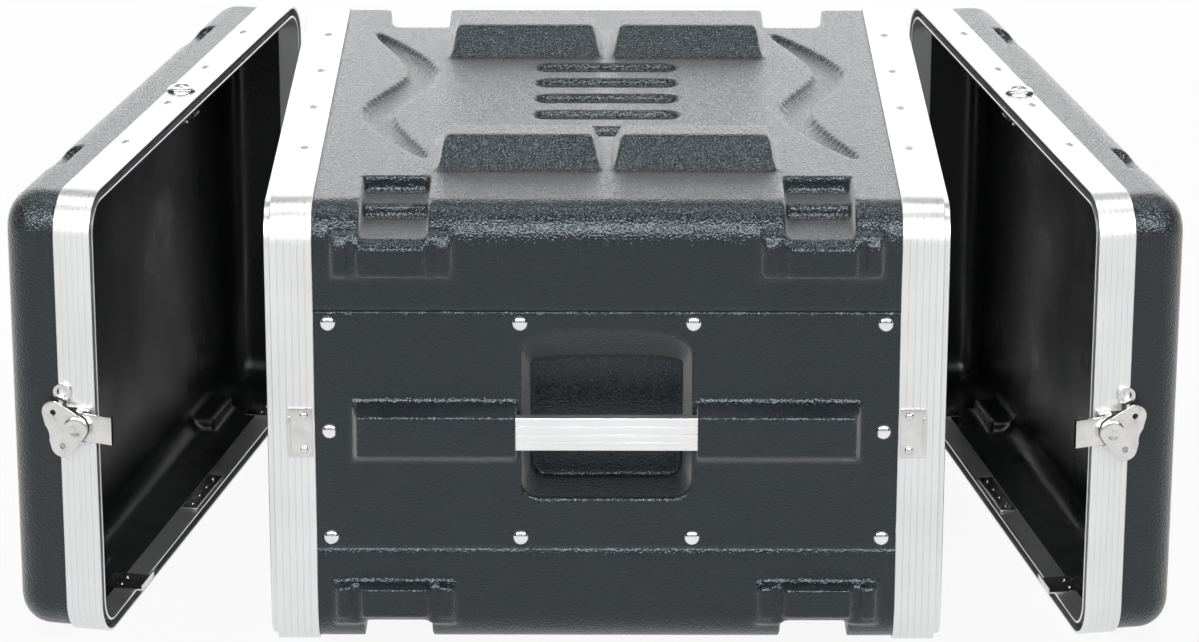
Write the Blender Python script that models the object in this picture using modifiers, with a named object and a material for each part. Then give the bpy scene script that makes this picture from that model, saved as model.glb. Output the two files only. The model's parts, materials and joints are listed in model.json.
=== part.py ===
"""Moulded rack case, six rack units high, with two lift-off lids.

Metres, +Z up.  X runs through the case from the front lid (-X) to the rear lid (+X), Y is its
width with the near handle at -Y, and the origin is the centre of the moulded underside.
Each piece is first made for the front, near quarter of the closed case and is then reflected
to the other places.  The lids finally swing out to stand open beside the case.
"""
import math

import bmesh
import bpy
from mathutils import Matrix, Vector

# ---- overall sizes -------------------------------------------------------------------------
WIDTH = 0.549                # over the valances, side to side
DEPTH = 0.460                # body only, rim to rim
HEIGHT = 0.326               # over the valances
CORNER_RADIUS = 0.029        # outside of the valances, seen from the front
CORNER_STEPS = 5
GAP = 0.0003                 # between pieces that touch
SINK = 0.002                 # how far a raised shape reaches into what it grows from

# ---- moulded walls and aluminium valances --------------------------------------------------
WALL = 0.005
VALANCE_SHEET = 0.002
INNER_SHEET = 0.0018
INNER_LEG = 0.016
BODY_LEG = 0.029
LID_LEG = 0.026
BODY_WEB = 0.0022
TONGUE_LENGTH = 0.004
TONGUE_THICKNESS = 0.0014
GROOVE_DEPTH = 0.0045
GROOVE_WEB = 0.0018

# ---- stacking pads, side bumpers, corner notches --------------------------------------------
PAD_X = (0.0045, 0.118)
PAD_Y = (0.105, 0.186)
PAD_TOP_X = (0.010, 0.1135)
PAD_TOP_Y = (0.134, 0.159)
PAD_HEIGHT = 0.019
NEST_CLEARANCE = 0.0007
BUMPER_FROM_RIM = 0.083           # its middle
BUMPER_FROM_TOP = 0.0327
BUMPER_LENGTH = 0.0865
BUMPER_HEIGHT = 0.033
BUMPER_BASE = 0.004
BUMPER_LUMP = 0.0095
BUMPER_SIDE_LUMP = 0.0070
NOTCH_FROM_RIM = 0.0845           # its middle
NOTCH_WIDTH = 0.047
NOTCH_REACH = (0.0755, 0.046)     # from the case side: upper floor, lower floor
NOTCH_DEPTH = (0.0115, 0.021)     # below the moulded top: upper floor, lower floor

# ---- relief in the moulded top ---------------------------------------------------------------
RELIEF_DEPTH = 0.003
WAVE_X = 0.1515
WAVE_Y = 0.0125
WAVE_WIDTH = 0.024
WAVE_SPINE = ((-0.0255, 0.168), (0.0143, 0.055), (-0.0143, -0.055), (0.0255, -0.168))
FLUTE_COUNT = 5
FLUTE_LENGTH = 0.106
FLUTE_WIDTH = 0.022
FLUTE_PITCH = 0.042
FLUTE_CENTRE_Y = -0.002

# ---- side panel with its grip and handle -----------------------------------------------------
PANEL_HEIGHT = 0.176
PANEL_THICKNESS = 0.0025
SKIRT = 0.020
GRIP_HALF = 0.059
GRIP_BOTTOM = -0.0495
GRIP_SHOULDER = 0.056
GRIP_TOP = 0.074
FLOOR_HALF = 0.053
FLOOR_BOTTOM = -0.046
FLOOR_SHOULDER = 0.038
FLOOR_TOP = 0.043
GRIP_DEPTH = 0.036
GRIP_WALL = 0.0025
GRIP_HEAD_INSET = 0.0045      # the skirt is cut this much narrower than the grip
HOUSING_X = (0.0625, 0.176)
HOUSING_PROUD = 0.0135
HOUSING_BASE = 0.023
HOUSING_FACE = 0.0142
BAR_HEIGHT = 0.0237
BAR_THICKNESS = 0.008
BAR_RISE = 0.0022
BAR_SOCKET = 0.014
BAR_RECESS = 0.0008               # behind the housing's face
BAR_GROOVES = 3
BAR_GROOVE = 0.0008

# ---- rivets and rack rails -------------------------------------------------------------------
RIVET_FROM_RIM = 0.039
RIVET_INNER_X = 0.0595
RIVET_FROM_PANEL_EDGE = 0.0095
RIVET_HEAD = 0.0055
RIVET_DOME = 0.0028
RIVET_SHANK = 0.0022
RIVET_TAIL = 0.0010               # past the last sheet it holds
RACK_UNIT = 0.04445
RACK_UNITS = 6
RACK_HOLES = 0.4651
RACK_CLEAR = 0.450
RACK_SETBACK = 0.0285
RACK_HOLE = 0.0034
RACK_HOLE_LEVELS = (0.25 * 0.0254, 0.875 * 0.0254, 1.5 * 0.0254)   # in each unit
RAIL_SHEET = 0.002
RAIL_FLANGE = 0.024

# ---- lids ------------------------------------------------------------------------------------
LID_DEPTH = 0.0655
LID_EDGE = 0.021
LID_FOOT = (0.028, 0.026, 0.0022)
LID_FOOT_Y = 0.165
LID_FOOT_Z = 0.090
LID_FOOT_DRAFT = 0.001
LID_NOTCH = (0.020, 0.047, 0.010)
RIM_GAP = 0.0004
POLE_OFFSET = 0.056
FRONT_REST_DEG = 11.75
REAR_REST_DEG = 10.05
LID_HOOK_Y = 0.185
LID_HOOK = (0.028, 0.024, 0.0015)
LID_HOOK_REACH = 0.006
LID_HOOK_CURL = 0.005

# ---- latches, strikes and locks ----------------------------------------------------------------
LATCH_PIVOT = 0.0135
LATCH_BASE = (0.0025, 0.0265, 0.0130)
LATCH_SHEET = 0.0015
WING_LEVEL = 0.0075
WING_SHEET = 0.0016
DISC_TOP = 0.0110
DISC_RADIUS = 0.0085
DISC_OFFSET = 0.0022
BOSS_RADIUS = 0.0028
BOSS_TOP = 0.0118
BOSS_FOOT = 0.0010                # where it starts, inside the base plate
NECK_STEP = 0.0002                # back from the base plate's underside
WING_LOBES = ((0.0140, 0.0106, 0.0080), (0.0077, -0.0134, 0.0084))
EYE_PLACE = (0.0092, 0.0234)
EYE_RADII = (0.0063, 0.0038)
EYE_NECK = 0.003                  # half width
EYE_THICKER = 0.001               # than the base plate
EAR = (0.0025, 0.0020, 0.0005)    # half width, thickness, room beside the hook
WING_HOLE = 0.0021
WING_WAIST = (0.0305, -0.0075, 0.0135)   # behind the pivot, above it, radius
HOOK_AXIS = (0.0090, 0.0035)
HOOK_HALF = 0.0100
HOOK_SHEET = 0.0016
HOOK_UNDER = 0.0039
HOOK_TAIL = 0.0013
HOOK_TIP = 0.0150
HOOK_LIP = 0.0018
HOOK_LIP_END = 0.0024
HOOK_PIN = 0.0012
HOOK_LIFT_DEG = 11.0
STRIKE_X = (0.0105, 0.0275)
STRIKE_HALF = 0.0180
STRIKE_SHEET = 0.0010
STRIKE_LIP = (0.0018, 0.0120, 0.0036)
STRIKE_RIVET = (0.0060, 0.0125, 0.0030, 0.0018)   # from its edge, off centre, radius, height
LOCK_FROM_RIM = 0.0155
LOCK_BEZEL = 0.0110
LOCK_TUBE = 0.0085
LOCK_BORE = 0.0058
LOCK_LENGTH = 0.020
LOCK_END = 0.0010                 # the plug, past the tube
BEZEL_HEIGHT = 0.0028
PLUG_HEIGHT = 0.0024
KEY_SLOT = (0.0006, 0.0030, 0.0015)   # half width, half length, depth
LOCK_NUT = (0.0115, 0.0030)
LOCK_CAM = (0.0225, 0.0060, 0.0020)

# ---- worked out --------------------------------------------------------------------------------
HALF_W = WIDTH / 2
RIM = DEPTH / 2
SKIN = VALANCE_SHEET + GAP                 # valance face to moulded face
SHELL_Y = HALF_W - SKIN
SHELL_TOP = HEIGHT - 2 * SKIN
SHELL_END = RIM - BODY_WEB - GAP
SHELL_RADIUS = CORNER_RADIUS - SKIN
MID_Z = SHELL_TOP / 2
VALANCE_BOTTOM = -SKIN
VALANCE_TOP = SHELL_TOP + SKIN
INNER_FACE = SKIN + WALL + GAP             # valance face to its inner leg
INNER_BACK = INNER_FACE + INNER_SHEET
PANEL_Y = SHELL_Y - PANEL_THICKNESS
SKIRT_Y = PANEL_Y - GAP
CAVITY_Y = SHELL_Y - WALL
PANEL_BOTTOM = MID_Z - PANEL_HEIGHT / 2
PANEL_TOP = MID_Z + PANEL_HEIGHT / 2
LID_RIM = RIM + RIM_GAP
LID_BACK = RIM + LID_DEPTH
LID_SHELL_START = LID_RIM + GROOVE_DEPTH + GROOVE_WEB + GAP
RACK_FACE = RIM - RACK_SETBACK
RACK_HALF = RACK_UNITS * RACK_UNIT / 2
BUMPER_X = RIM - BUMPER_FROM_RIM
BUMPER_LEVEL = SHELL_TOP - BUMPER_FROM_TOP
NOTCH_X = RIM - NOTCH_FROM_RIM
GRIP_RELIEF = GRIP_HALF - GRIP_HEAD_INSET
RIVET_OUTER_X = RIM - RIVET_FROM_RIM
RIVET_Z = PANEL_HEIGHT / 2 - RIVET_FROM_PANEL_EDGE
BAR_FRONT = SHELL_Y + HOUSING_PROUD - BAR_RECESS
LOCK_BOTTOM = VALANCE_TOP - LOCK_LENGTH - LOCK_END
OVER = 0.01                                # how far a cutter runs past what it cuts

PLASTIC = ("black_moulded_plastic", (0.035, 0.037, 0.040), 0.55, 0.0)
ALUMINIUM = ("satin_aluminium", (0.86, 0.87, 0.88), 0.35, 1.0)
NICKEL = ("nickel_plate", (0.72, 0.71, 0.69), 0.25, 1.0)
CHROME = ("chrome_rivet", (0.80, 0.80, 0.82), 0.12, 1.0)
BLACK_STEEL = ("black_steel", (0.030, 0.030, 0.032), 0.45, 0.6)


# ---- general helpers ---------------------------------------------------------------------------
def clear_scene():
    for obj in list(bpy.data.objects):
        bpy.data.objects.remove(obj, do_unlink=True)


def new_collection(name):
    collection = bpy.data.collections.new(name)
    bpy.context.scene.collection.children.link(collection)
    return collection


def material(spec):
    name, colour, roughness, metallic = spec
    if name in bpy.data.materials:
        return bpy.data.materials[name]
    made = bpy.data.materials.new(name)
    made.use_nodes = True
    made.diffuse_color = (*colour, 1.0)
    shader = made.node_tree.nodes["Principled BSDF"]
    shader.inputs["Base Color"].default_value = (*colour, 1.0)
    shader.inputs["Roughness"].default_value = roughness
    shader.inputs["Metallic"].default_value = metallic
    return made


def finish_mesh(bm, name):
    """Turn a bmesh into a mesh with its faces pointing out."""
    bmesh.ops.recalc_face_normals(bm, faces=bm.faces)
    mesh = bpy.data.meshes.new(name)
    bm.to_mesh(mesh)
    bm.free()
    return mesh


def box(low, high):
    """An axis-aligned block between two corners."""
    low, high = Vector(low), Vector(high)
    bm = bmesh.new()
    bmesh.ops.create_cube(bm, size=1.0)
    size = high - low
    bmesh.ops.scale(bm, vec=size, verts=bm.verts)
    bmesh.ops.translate(bm, vec=(low + high) / 2, verts=bm.verts)
    return finish_mesh(bm, "box")


def tapered_box(base_low, base_high, face_low, face_high, axis):
    """A block whose rectangle at one end of the axis differs from the one at the other end."""
    bm = bmesh.new()
    bmesh.ops.create_cube(bm, size=1.0)
    for vert in bm.verts:
        low, high = (base_low, base_high) if vert.co[axis] < 0 else (face_low, face_high)
        vert.co = Vector([high[i] if vert.co[i] > 0 else low[i] for i in range(3)])
    return finish_mesh(bm, "tapered_box")


def cylinder(centre, radius, length, axis, sides=16):
    """A round bar centred on a point, along X, Y or Z."""
    turn = {"X": Matrix.Rotation(math.pi / 2, 4, "Y"),
            "Y": Matrix.Rotation(math.pi / 2, 4, "X"),
            "Z": Matrix.Identity(4)}[axis]
    bm = bmesh.new()
    bmesh.ops.create_cone(bm, cap_ends=True, segments=sides, radius1=radius, radius2=radius,
                          depth=length, matrix=Matrix.Translation(centre) @ turn)
    return finish_mesh(bm, "cylinder")


def rounded_prism(x_low, x_high, half_y, z_low, z_high, radius):
    """A bar along X with a rounded rectangular section."""
    bm = bmesh.new()
    bmesh.ops.create_cube(bm, size=1.0)
    bmesh.ops.scale(bm, vec=(x_high - x_low, 2 * half_y, z_high - z_low), verts=bm.verts)
    bmesh.ops.translate(bm, vec=((x_low + x_high) / 2, 0, (z_low + z_high) / 2), verts=bm.verts)
    edges = [edge for edge in bm.edges
             if abs(edge.verts[0].co.x - edge.verts[1].co.x) > (x_high - x_low) / 2]
    bmesh.ops.bevel(bm, geom=edges, offset=radius, segments=CORNER_STEPS, profile=0.5,
                    affect="EDGES")
    return bm


def domed_prism(x_back, x_open, half_y, z_low, z_high, radius, edge_radius):
    """A rounded prism whose end at x_back also has a rounded edge."""
    bm = rounded_prism(x_back, x_open, half_y, z_low, z_high, radius)
    rim = [edge for edge in bm.edges if all(abs(vert.co.x - x_back) < 1e-6 for vert in edge.verts)]
    bmesh.ops.bevel(bm, geom=rim, offset=edge_radius, segments=4, profile=0.5, affect="EDGES")
    return finish_mesh(bm, "domed_prism")


def extruded(outline, axis, start, end):
    """A flat outline, given in the two other axes in order, carried along an axis."""
    others = [i for i in range(3) if i != axis]
    bm = bmesh.new()
    ring = []
    for first, second in outline:
        point = [0.0, 0.0, 0.0]
        point[axis] = start
        point[others[0]] = first
        point[others[1]] = second
        ring.append(bm.verts.new(point))
    face = bm.faces.new(ring)
    grown = bmesh.ops.extrude_face_region(bm, geom=[face])
    moved = [item for item in grown["geom"] if isinstance(item, bmesh.types.BMVert)]
    shift = [0.0, 0.0, 0.0]
    shift[axis] = end - start
    bmesh.ops.translate(bm, vec=shift, verts=moved)
    return finish_mesh(bm, "extruded")


def loft(ring_a, ring_b):
    """A closed solid between two rings with the same number of points."""
    bm = bmesh.new()
    first = [bm.verts.new(point) for point in ring_a]
    second = [bm.verts.new(point) for point in ring_b]
    bm.faces.new(first)
    bm.faces.new(second)
    count = len(first)
    for i in range(count):
        j = (i + 1) % count
        bm.faces.new((first[i], first[j], second[j], second[i]))
    return finish_mesh(bm, "loft")


def arc(centre, radius, start_deg, end_deg, steps):
    """Points on an arc, both ends included."""
    points = []
    for i in range(steps + 1):
        angle = math.radians(start_deg + (end_deg - start_deg) * i / steps)
        points.append((centre[0] + radius * math.cos(angle), centre[1] + radius * math.sin(angle)))
    return points


def convex_hull(points):
    """The points of a flat set that lie on its convex outline, anticlockwise."""
    points = sorted(set(points))

    def half(ordered):
        chain = []
        for point in ordered:
            while len(chain) > 1:
                (ax, ay), (bx, by) = chain[-2], chain[-1]
                if (bx - ax) * (point[1] - ay) - (by - ay) * (point[0] - ax) > 1e-12:
                    break
                chain.pop()
            chain.append(point)
        return chain[:-1]

    return half(points) + half(points[::-1])


def boolean(target, tool, operation):
    """The Boolean of two meshes as a new mesh; both inputs are used up."""
    first = bpy.data.objects.new("target", target)
    second = bpy.data.objects.new("tool", tool)
    for obj in (first, second):
        bpy.context.scene.collection.objects.link(obj)
    step = first.modifiers.new("boolean", "BOOLEAN")
    step.operation = operation
    step.solver = "EXACT"
    step.object = second
    graph = bpy.context.evaluated_depsgraph_get()
    result = bpy.data.meshes.new_from_object(first.evaluated_get(graph))
    for obj in (first, second):
        bpy.data.objects.remove(obj, do_unlink=True)
    return result


def union(target, *tools):
    for tool in tools:
        target = boolean(target, tool, "UNION")
    return target


def subtract(target, *tools):
    for tool in tools:
        target = boolean(target, tool, "DIFFERENCE")
    return target


def joined(*meshes):
    """Several meshes that lie apart, as one mesh to be used as a cutter."""
    bm = bmesh.new()
    for mesh in meshes:
        bm.from_mesh(mesh)
    return finish_mesh(bm, "joined")


def reflected(mesh, side_x, side_y):
    """A copy on the other side of x = 0, y = 0 or both, with its faces still pointing out."""
    copy = mesh.copy()
    copy.transform(Matrix.Diagonal((side_x, side_y, 1, 1)))
    if side_x * side_y < 0:
        copy.flip_normals()
    return copy


def at_all_corners(mesh):
    """The mesh of the front, near quarter at its four reflected places, as one cutter."""
    return joined(*[reflected(mesh, sx, sy) for sx in (1, -1) for sy in (1, -1)])


def add_part(collection, name, mesh, spec, origin=(0, 0, 0), parent=None, smooth=False):
    """A named object whose origin is at a point given in the closed case's frame."""
    mesh.name = name
    mesh.transform(Matrix.Translation(-Vector(origin)))
    mesh.materials.clear()
    mesh.materials.append(material(spec))
    if smooth:
        mesh.shade_smooth()
        mesh.set_sharp_from_angle(angle=math.radians(35))
    obj = bpy.data.objects.new(name, mesh)
    collection.objects.link(obj)
    obj.location = Vector(origin)
    if parent is not None:
        obj.parent = parent
        obj.location = Vector(origin) - parent.location
    return obj


# ---- valances ----------------------------------------------------------------------------------
def rounded_rectangle(half_width, half_height, radius):
    points = []
    corners = ((1, 1, 0), (-1, 1, 90), (-1, -1, 180), (1, -1, 270))
    for side_a, side_b, start in corners:
        centre = (side_a * (half_width - radius), side_b * (half_height - radius))
        points += arc(centre, radius, start, start + 90, CORNER_STEPS)
    return points


def poly_curve(name, points, dimensions):
    curve = bpy.data.curves.new(name, "CURVE")
    curve.dimensions = dimensions
    spline = curve.splines.new("POLY")
    spline.points.add(len(points) - 1)
    for place, (first, second) in zip(spline.points, points):
        place.co = (first, second, 0, 1)
    spline.use_cyclic_u = True
    return curve


def valance_ring(profile):
    """A closed ring: profile points are (distance from the rim, depth under the outer face)."""
    section = bpy.data.objects.new("section", poly_curve("section", profile, "2D"))
    section.data.fill_mode = "NONE"
    path = poly_curve("path", rounded_rectangle(HALF_W, HEIGHT / 2, CORNER_RADIUS), "3D")
    path.twist_mode = "Z_UP"
    path.bevel_mode = "OBJECT"
    path.bevel_object = section
    ring = bpy.data.objects.new("ring", path)
    for obj in (section, ring):
        bpy.context.scene.collection.objects.link(obj)
    graph = bpy.context.evaluated_depsgraph_get()
    mesh = bpy.data.meshes.new_from_object(ring.evaluated_get(graph))
    for obj in (section, ring):
        bpy.data.objects.remove(obj, do_unlink=True)
    bm = bmesh.new()
    bm.from_mesh(mesh)
    bmesh.ops.remove_doubles(bm, verts=bm.verts, dist=1e-6)
    return finish_mesh(bm, "valance")


def stand_ring(mesh, rim_x):
    """Turn a ring made in the XY plane to stand in YZ, its profile running towards +X."""
    turn = Matrix(((0, 0, 1, 0), (1, 0, 0, 0), (0, 1, 0, 0), (0, 0, 0, 1)))
    mesh.transform(Matrix.Translation((rim_x, 0, MID_Z)) @ turn)
    return mesh


def ring_profile(points):
    """Profile points as the sweep takes them: across the path, then along the case."""
    return [(-depth, along) for along, depth in points]


def body_valance():
    tongue = (VALANCE_SHEET + INNER_FACE) / 2
    half = TONGUE_THICKNESS / 2
    points = [(0, 0), (BODY_LEG, 0), (BODY_LEG, VALANCE_SHEET), (BODY_WEB, VALANCE_SHEET),
              (BODY_WEB, INNER_FACE), (INNER_LEG, INNER_FACE), (INNER_LEG, INNER_BACK),
              (0, INNER_BACK), (0, tongue + half), (-TONGUE_LENGTH, tongue + half),
              (-TONGUE_LENGTH, tongue - half), (0, tongue - half)]
    return stand_ring(valance_ring(ring_profile(points)), -RIM)


def lid_valance():
    web = GROOVE_DEPTH + GROOVE_WEB
    points = [(0, 0), (0, VALANCE_SHEET), (-GROOVE_DEPTH, VALANCE_SHEET),
              (-GROOVE_DEPTH, INNER_FACE), (0, INNER_FACE), (0, INNER_BACK),
              (-INNER_LEG, INNER_BACK), (-INNER_LEG, INNER_FACE), (-web, INNER_FACE),
              (-web, VALANCE_SHEET), (-LID_LEG, VALANCE_SHEET), (-LID_LEG, 0)]
    ring = stand_ring(valance_ring(ring_profile(points)), -LID_RIM)
    return subtract(ring, lock_hole())


# ---- moulded shells ----------------------------------------------------------------------------
def notch_cutter(grow):
    """A two-step notch over the top edge; grow moves its walls out to leave a wall inside."""
    reach_up, reach_low = NOTCH_REACH
    depth_up, depth_low = NOTCH_DEPTH
    top = SHELL_TOP + OVER
    outline = [(-SHELL_Y - OVER, top),
               (-SHELL_Y + reach_up + grow, top),
               (-SHELL_Y + reach_up + grow, SHELL_TOP - depth_up - grow),
               (-SHELL_Y + reach_low + grow, SHELL_TOP - depth_up - grow),
               (-SHELL_Y + reach_low + grow, SHELL_TOP - depth_low - grow),
               (-SHELL_Y - OVER, SHELL_TOP - depth_low - grow)]
    half = NOTCH_WIDTH / 2 + grow
    return extruded(outline, 0, -NOTCH_X - half, -NOTCH_X + half)


def pad(grow, bottom, height):
    """A stacking pad; grow moves its sloping sides out, and bottom sinks its base."""
    slope_x = (PAD_TOP_X[0] - PAD_X[0], PAD_X[1] - PAD_TOP_X[1])
    slope_y = (PAD_TOP_Y[0] - PAD_Y[0], PAD_Y[1] - PAD_TOP_Y[1])
    drop = bottom / PAD_HEIGHT
    rise = (height - PAD_HEIGHT) / PAD_HEIGHT
    base_low = (-PAD_X[1] - grow - drop * slope_x[1], -PAD_Y[1] - grow - drop * slope_y[1],
                SHELL_TOP - bottom)
    base_high = (-PAD_X[0] + grow + drop * slope_x[0], -PAD_Y[0] + grow + drop * slope_y[0],
                 SHELL_TOP - bottom)
    face_low = (-PAD_TOP_X[1] - grow + rise * slope_x[1], -PAD_TOP_Y[1] - grow + rise * slope_y[1],
                SHELL_TOP + height)
    face_high = (-PAD_TOP_X[0] + grow - rise * slope_x[0],
                 -PAD_TOP_Y[0] + grow - rise * slope_y[0], SHELL_TOP + height)
    return tapered_box(base_low, base_high, face_low, face_high, 2)


def bumper():
    """The moulded foot on the near side: a low base, a tall middle lump and two end lumps."""
    centre = -BUMPER_X
    level = BUMPER_LEVEL
    half = BUMPER_LENGTH / 2
    tall = BUMPER_HEIGHT / 2

    def lump(low, high, bottom, top, proud, slope):
        return tapered_box((low + slope, -SHELL_Y - proud, bottom + slope / 2),
                           (high - slope, -SHELL_Y - proud, top - slope),
                           (low, -SHELL_Y + SINK, bottom), (high, -SHELL_Y + SINK, top), 1)

    base = lump(centre - half, centre + half, level - tall, level + tall, BUMPER_BASE, 0.0025)
    middle = lump(centre - 0.31 * BUMPER_LENGTH, centre + 0.31 * BUMPER_LENGTH,
                  level - tall + 0.001, level + tall - 0.005, BUMPER_LUMP, 0.004)
    ends = []
    for side in (-1, 1):
        near = centre + side * 0.345 * BUMPER_LENGTH
        far = centre + side * 0.488 * BUMPER_LENGTH
        ends.append(lump(min(near, far), max(near, far), level - tall + 0.002,
                         level + tall - 0.006, BUMPER_SIDE_LUMP, 0.002))
    return union(base, middle, *ends)


def catmull_rom(points, steps):
    """A smooth run of points through a few chosen ones."""
    padded = [points[0], *points, points[-1]]
    run = []
    for i in range(len(points) - 1):
        p0, p1, p2, p3 = [Vector(point) for point in padded[i:i + 4]]
        for k in range(steps):
            t = k / steps
            run.append(0.5 * (2 * p1 + (p2 - p0) * t + (2 * p0 - 5 * p1 + 4 * p2 - p3) * t * t
                              + (3 * p1 - p0 - 3 * p2 + p3) * t ** 3))
    run.append(Vector(points[-1]))
    return run


def wave_cutter(centre_x):
    """The S-shaped ribbon pressed into the top: a spine with a width that fades at its tips."""
    spine = catmull_rom(WAVE_SPINE, 7)
    left, right = [], []
    last = len(spine) - 1
    for i in range(1, last):
        along = (spine[i + 1] - spine[i - 1]).normalized()
        across = Vector((-along.y, along.x))
        half = WAVE_WIDTH / 2 * math.sin(math.pi * i / last) ** 0.7
        left.append(spine[i] + across * half)
        right.append(spine[i] - across * half)
    outline = [spine[0], *left, spine[last], *reversed(right)]
    placed = [(centre_x + point.x, WAVE_Y + point.y) for point in outline]
    return extruded(placed, 2, SHELL_TOP - RELIEF_DEPTH, SHELL_TOP + OVER)


def flute_cutter(number):
    """One straight groove with round ends, running along X."""
    y = FLUTE_CENTRE_Y + (number - (FLUTE_COUNT - 1) / 2) * FLUTE_PITCH
    radius = FLUTE_WIDTH / 2
    reach = FLUTE_LENGTH / 2 - radius
    outline = arc((reach, y), radius, -90, 90, 6) + arc((-reach, y), radius, 90, 270, 6)
    return extruded(outline, 2, SHELL_TOP - RELIEF_DEPTH, SHELL_TOP + OVER)


def body_block():
    return finish_mesh(rounded_prism(-SHELL_END, SHELL_END, SHELL_Y, 0, SHELL_TOP, SHELL_RADIUS),
                       "block")


def body_cavity():
    return finish_mesh(rounded_prism(-SHELL_END - OVER, SHELL_END + OVER, CAVITY_Y, WALL,
                                     SHELL_TOP - WALL, SHELL_RADIUS - WALL), "cavity")


def side_rivet_places():
    """(x, height from the middle) of the ten rivets of one side panel."""
    places = [(side * RIVET_OUTER_X, level) for side in (-1, 1) for level in (-RIVET_Z, 0, RIVET_Z)]
    places += [(side * RIVET_INNER_X, level) for side in (-1, 1) for level in (-RIVET_Z, RIVET_Z)]
    return sorted(places, key=lambda place: (-place[1], place[0]))


def rivet_holes(levels, y_low, y_high):
    """Cutters for the rivet holes at some levels, between two depths under the near side."""
    length = y_high - y_low
    holes = [cylinder((x, -(y_low + y_high) / 2, MID_Z + level), RIVET_SHANK + GAP, length, "Y", 8)
             for x, level in side_rivet_places() if level in levels]
    return joined(*holes)


def both_sides(mesh):
    return joined(reflected(mesh, 1, 1), reflected(mesh, 1, -1))


def half_shell():
    """The top half of the body before its own relief: the bottom half is its upside-down twin."""
    shell = body_block()
    bump = bumper()
    shell = union(shell, *[reflected(bump, sx, sy) for sx in (1, -1) for sy in (1, -1)])
    below = box((-RIM, -HALF_W - OVER, -OVER), (RIM, HALF_W + OVER, PANEL_TOP - SKIRT))
    rebate = box((-RIM, -HALF_W - OVER, PANEL_TOP - SKIRT - OVER),
                 (RIM, -SKIRT_Y, PANEL_TOP + GAP))
    shell = subtract(shell, below, both_sides(rebate), at_all_corners(notch_cutter(0)))
    return subtract(shell, both_sides(rivet_holes((RIVET_Z,), CAVITY_Y - OVER, SHELL_Y)))


def upside_down(mesh):
    """The same shape turned over about the line through the middle of the case along X."""
    mesh.transform(Matrix.Translation((0, 0, SHELL_TOP)) @ Matrix.Rotation(math.pi, 4, "X"))
    return mesh


def top_shell():
    shell = union(half_shell(), *[reflected(pad(0, SINK, PAD_HEIGHT), sx, sy)
                                  for sx in (1, -1) for sy in (1, -1)])
    flutes = joined(*[flute_cutter(number) for number in range(FLUTE_COUNT)])
    waves = joined(wave_cutter(-WAVE_X), wave_cutter(WAVE_X))
    cup_way = box((-GRIP_RELIEF, -SHELL_Y, PANEL_TOP - SKIRT - OVER),
                  (GRIP_RELIEF, -CAVITY_Y + OVER, MID_Z + GRIP_TOP + GRIP_WALL + 2 * GAP))
    shell = subtract(shell, flutes, waves, both_sides(cup_way))
    hollow = union(subtract(body_cavity(), at_all_corners(notch_cutter(WALL))),
                   at_all_corners(pad(-WALL * 0.7, 2 * WALL, PAD_HEIGHT - WALL)))
    return subtract(shell, hollow)


def bottom_shell():
    """Turned over, so its nesting pockets are cut where the top half has pads."""
    depth = PAD_HEIGHT + NEST_CLEARANCE

    def pocket(grow, extra):
        mesh = pad(NEST_CLEARANCE + grow, OVER, PAD_HEIGHT)
        mesh.transform(Matrix.Diagonal((1, 1, -1, 1)))
        mesh.transform(Matrix.Translation((0, 0, 2 * SHELL_TOP - (depth - PAD_HEIGHT) - extra)))
        mesh.flip_normals()
        return mesh

    walled = pocket(WALL, WALL)
    hollow = subtract(body_cavity(), at_all_corners(notch_cutter(WALL)),
                      *[reflected(walled, sx, sy) for sx in (1, -1) for sy in (1, -1)])
    shell = subtract(half_shell(), at_all_corners(pocket(0, 0)), hollow)
    return upside_down(shell)


# ---- side panels and handles -------------------------------------------------------------------
def grip_outline(half, bottom, shoulder, top, grow):
    """The grip's outline in (x, z): round lower corners, straight sides, arched head."""
    radius = 0.012
    half, bottom, rise = half + grow, bottom - grow, top - shoulder
    points = arc((-half + radius, bottom + radius), radius, 180, 270, 3)
    points += arc((half - radius, bottom + radius), radius, 270, 360, 3)
    for i in range(11):
        angle = math.pi * i / 10
        spread = math.copysign(abs(math.cos(angle)) ** 0.7, math.cos(angle))
        points.append((half * spread, shoulder + (rise + grow) * math.sin(angle) ** 0.85))
    return points


def grip_loft(front_y, floor_y, grow):
    """The grip's tapering hollow between two depths, made grow larger all round."""
    front = grip_outline(GRIP_HALF, GRIP_BOTTOM, GRIP_SHOULDER, GRIP_TOP, grow)
    floor = grip_outline(FLOOR_HALF, FLOOR_BOTTOM, FLOOR_SHOULDER, FLOOR_TOP, grow)
    return loft([(x, front_y, MID_Z + z) for x, z in front],
                [(x, floor_y, MID_Z + z) for x, z in floor])


def housing(side):
    """The raised black block that carries one end of the handle bar."""
    inner, outer = HOUSING_X
    slope = HOUSING_BASE - HOUSING_FACE
    face_y = -SHELL_Y - HOUSING_PROUD
    base_y = -SHELL_Y + PANEL_THICKNESS / 2
    low, high = sorted((side * inner, side * outer))
    face_low = low + (slope / 2 if side < 0 else 0)
    face_high = high - (slope / 2 if side > 0 else 0)
    return tapered_box((face_low, face_y, MID_Z - HOUSING_FACE),
                       (face_high, face_y, MID_Z + HOUSING_FACE),
                       (low, base_y, MID_Z - HOUSING_BASE),
                       (high, base_y, MID_Z + HOUSING_BASE), 1)


def bar_block(grow, reach):
    """The handle bar's block, or the socket around it when it is made larger."""
    front = -BAR_FRONT
    middle = MID_Z + BAR_RISE
    half = BAR_HEIGHT / 2 + grow
    return box((-reach, front - grow, middle - half),
               (reach, front + BAR_THICKNESS + grow, middle + half))


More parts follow.
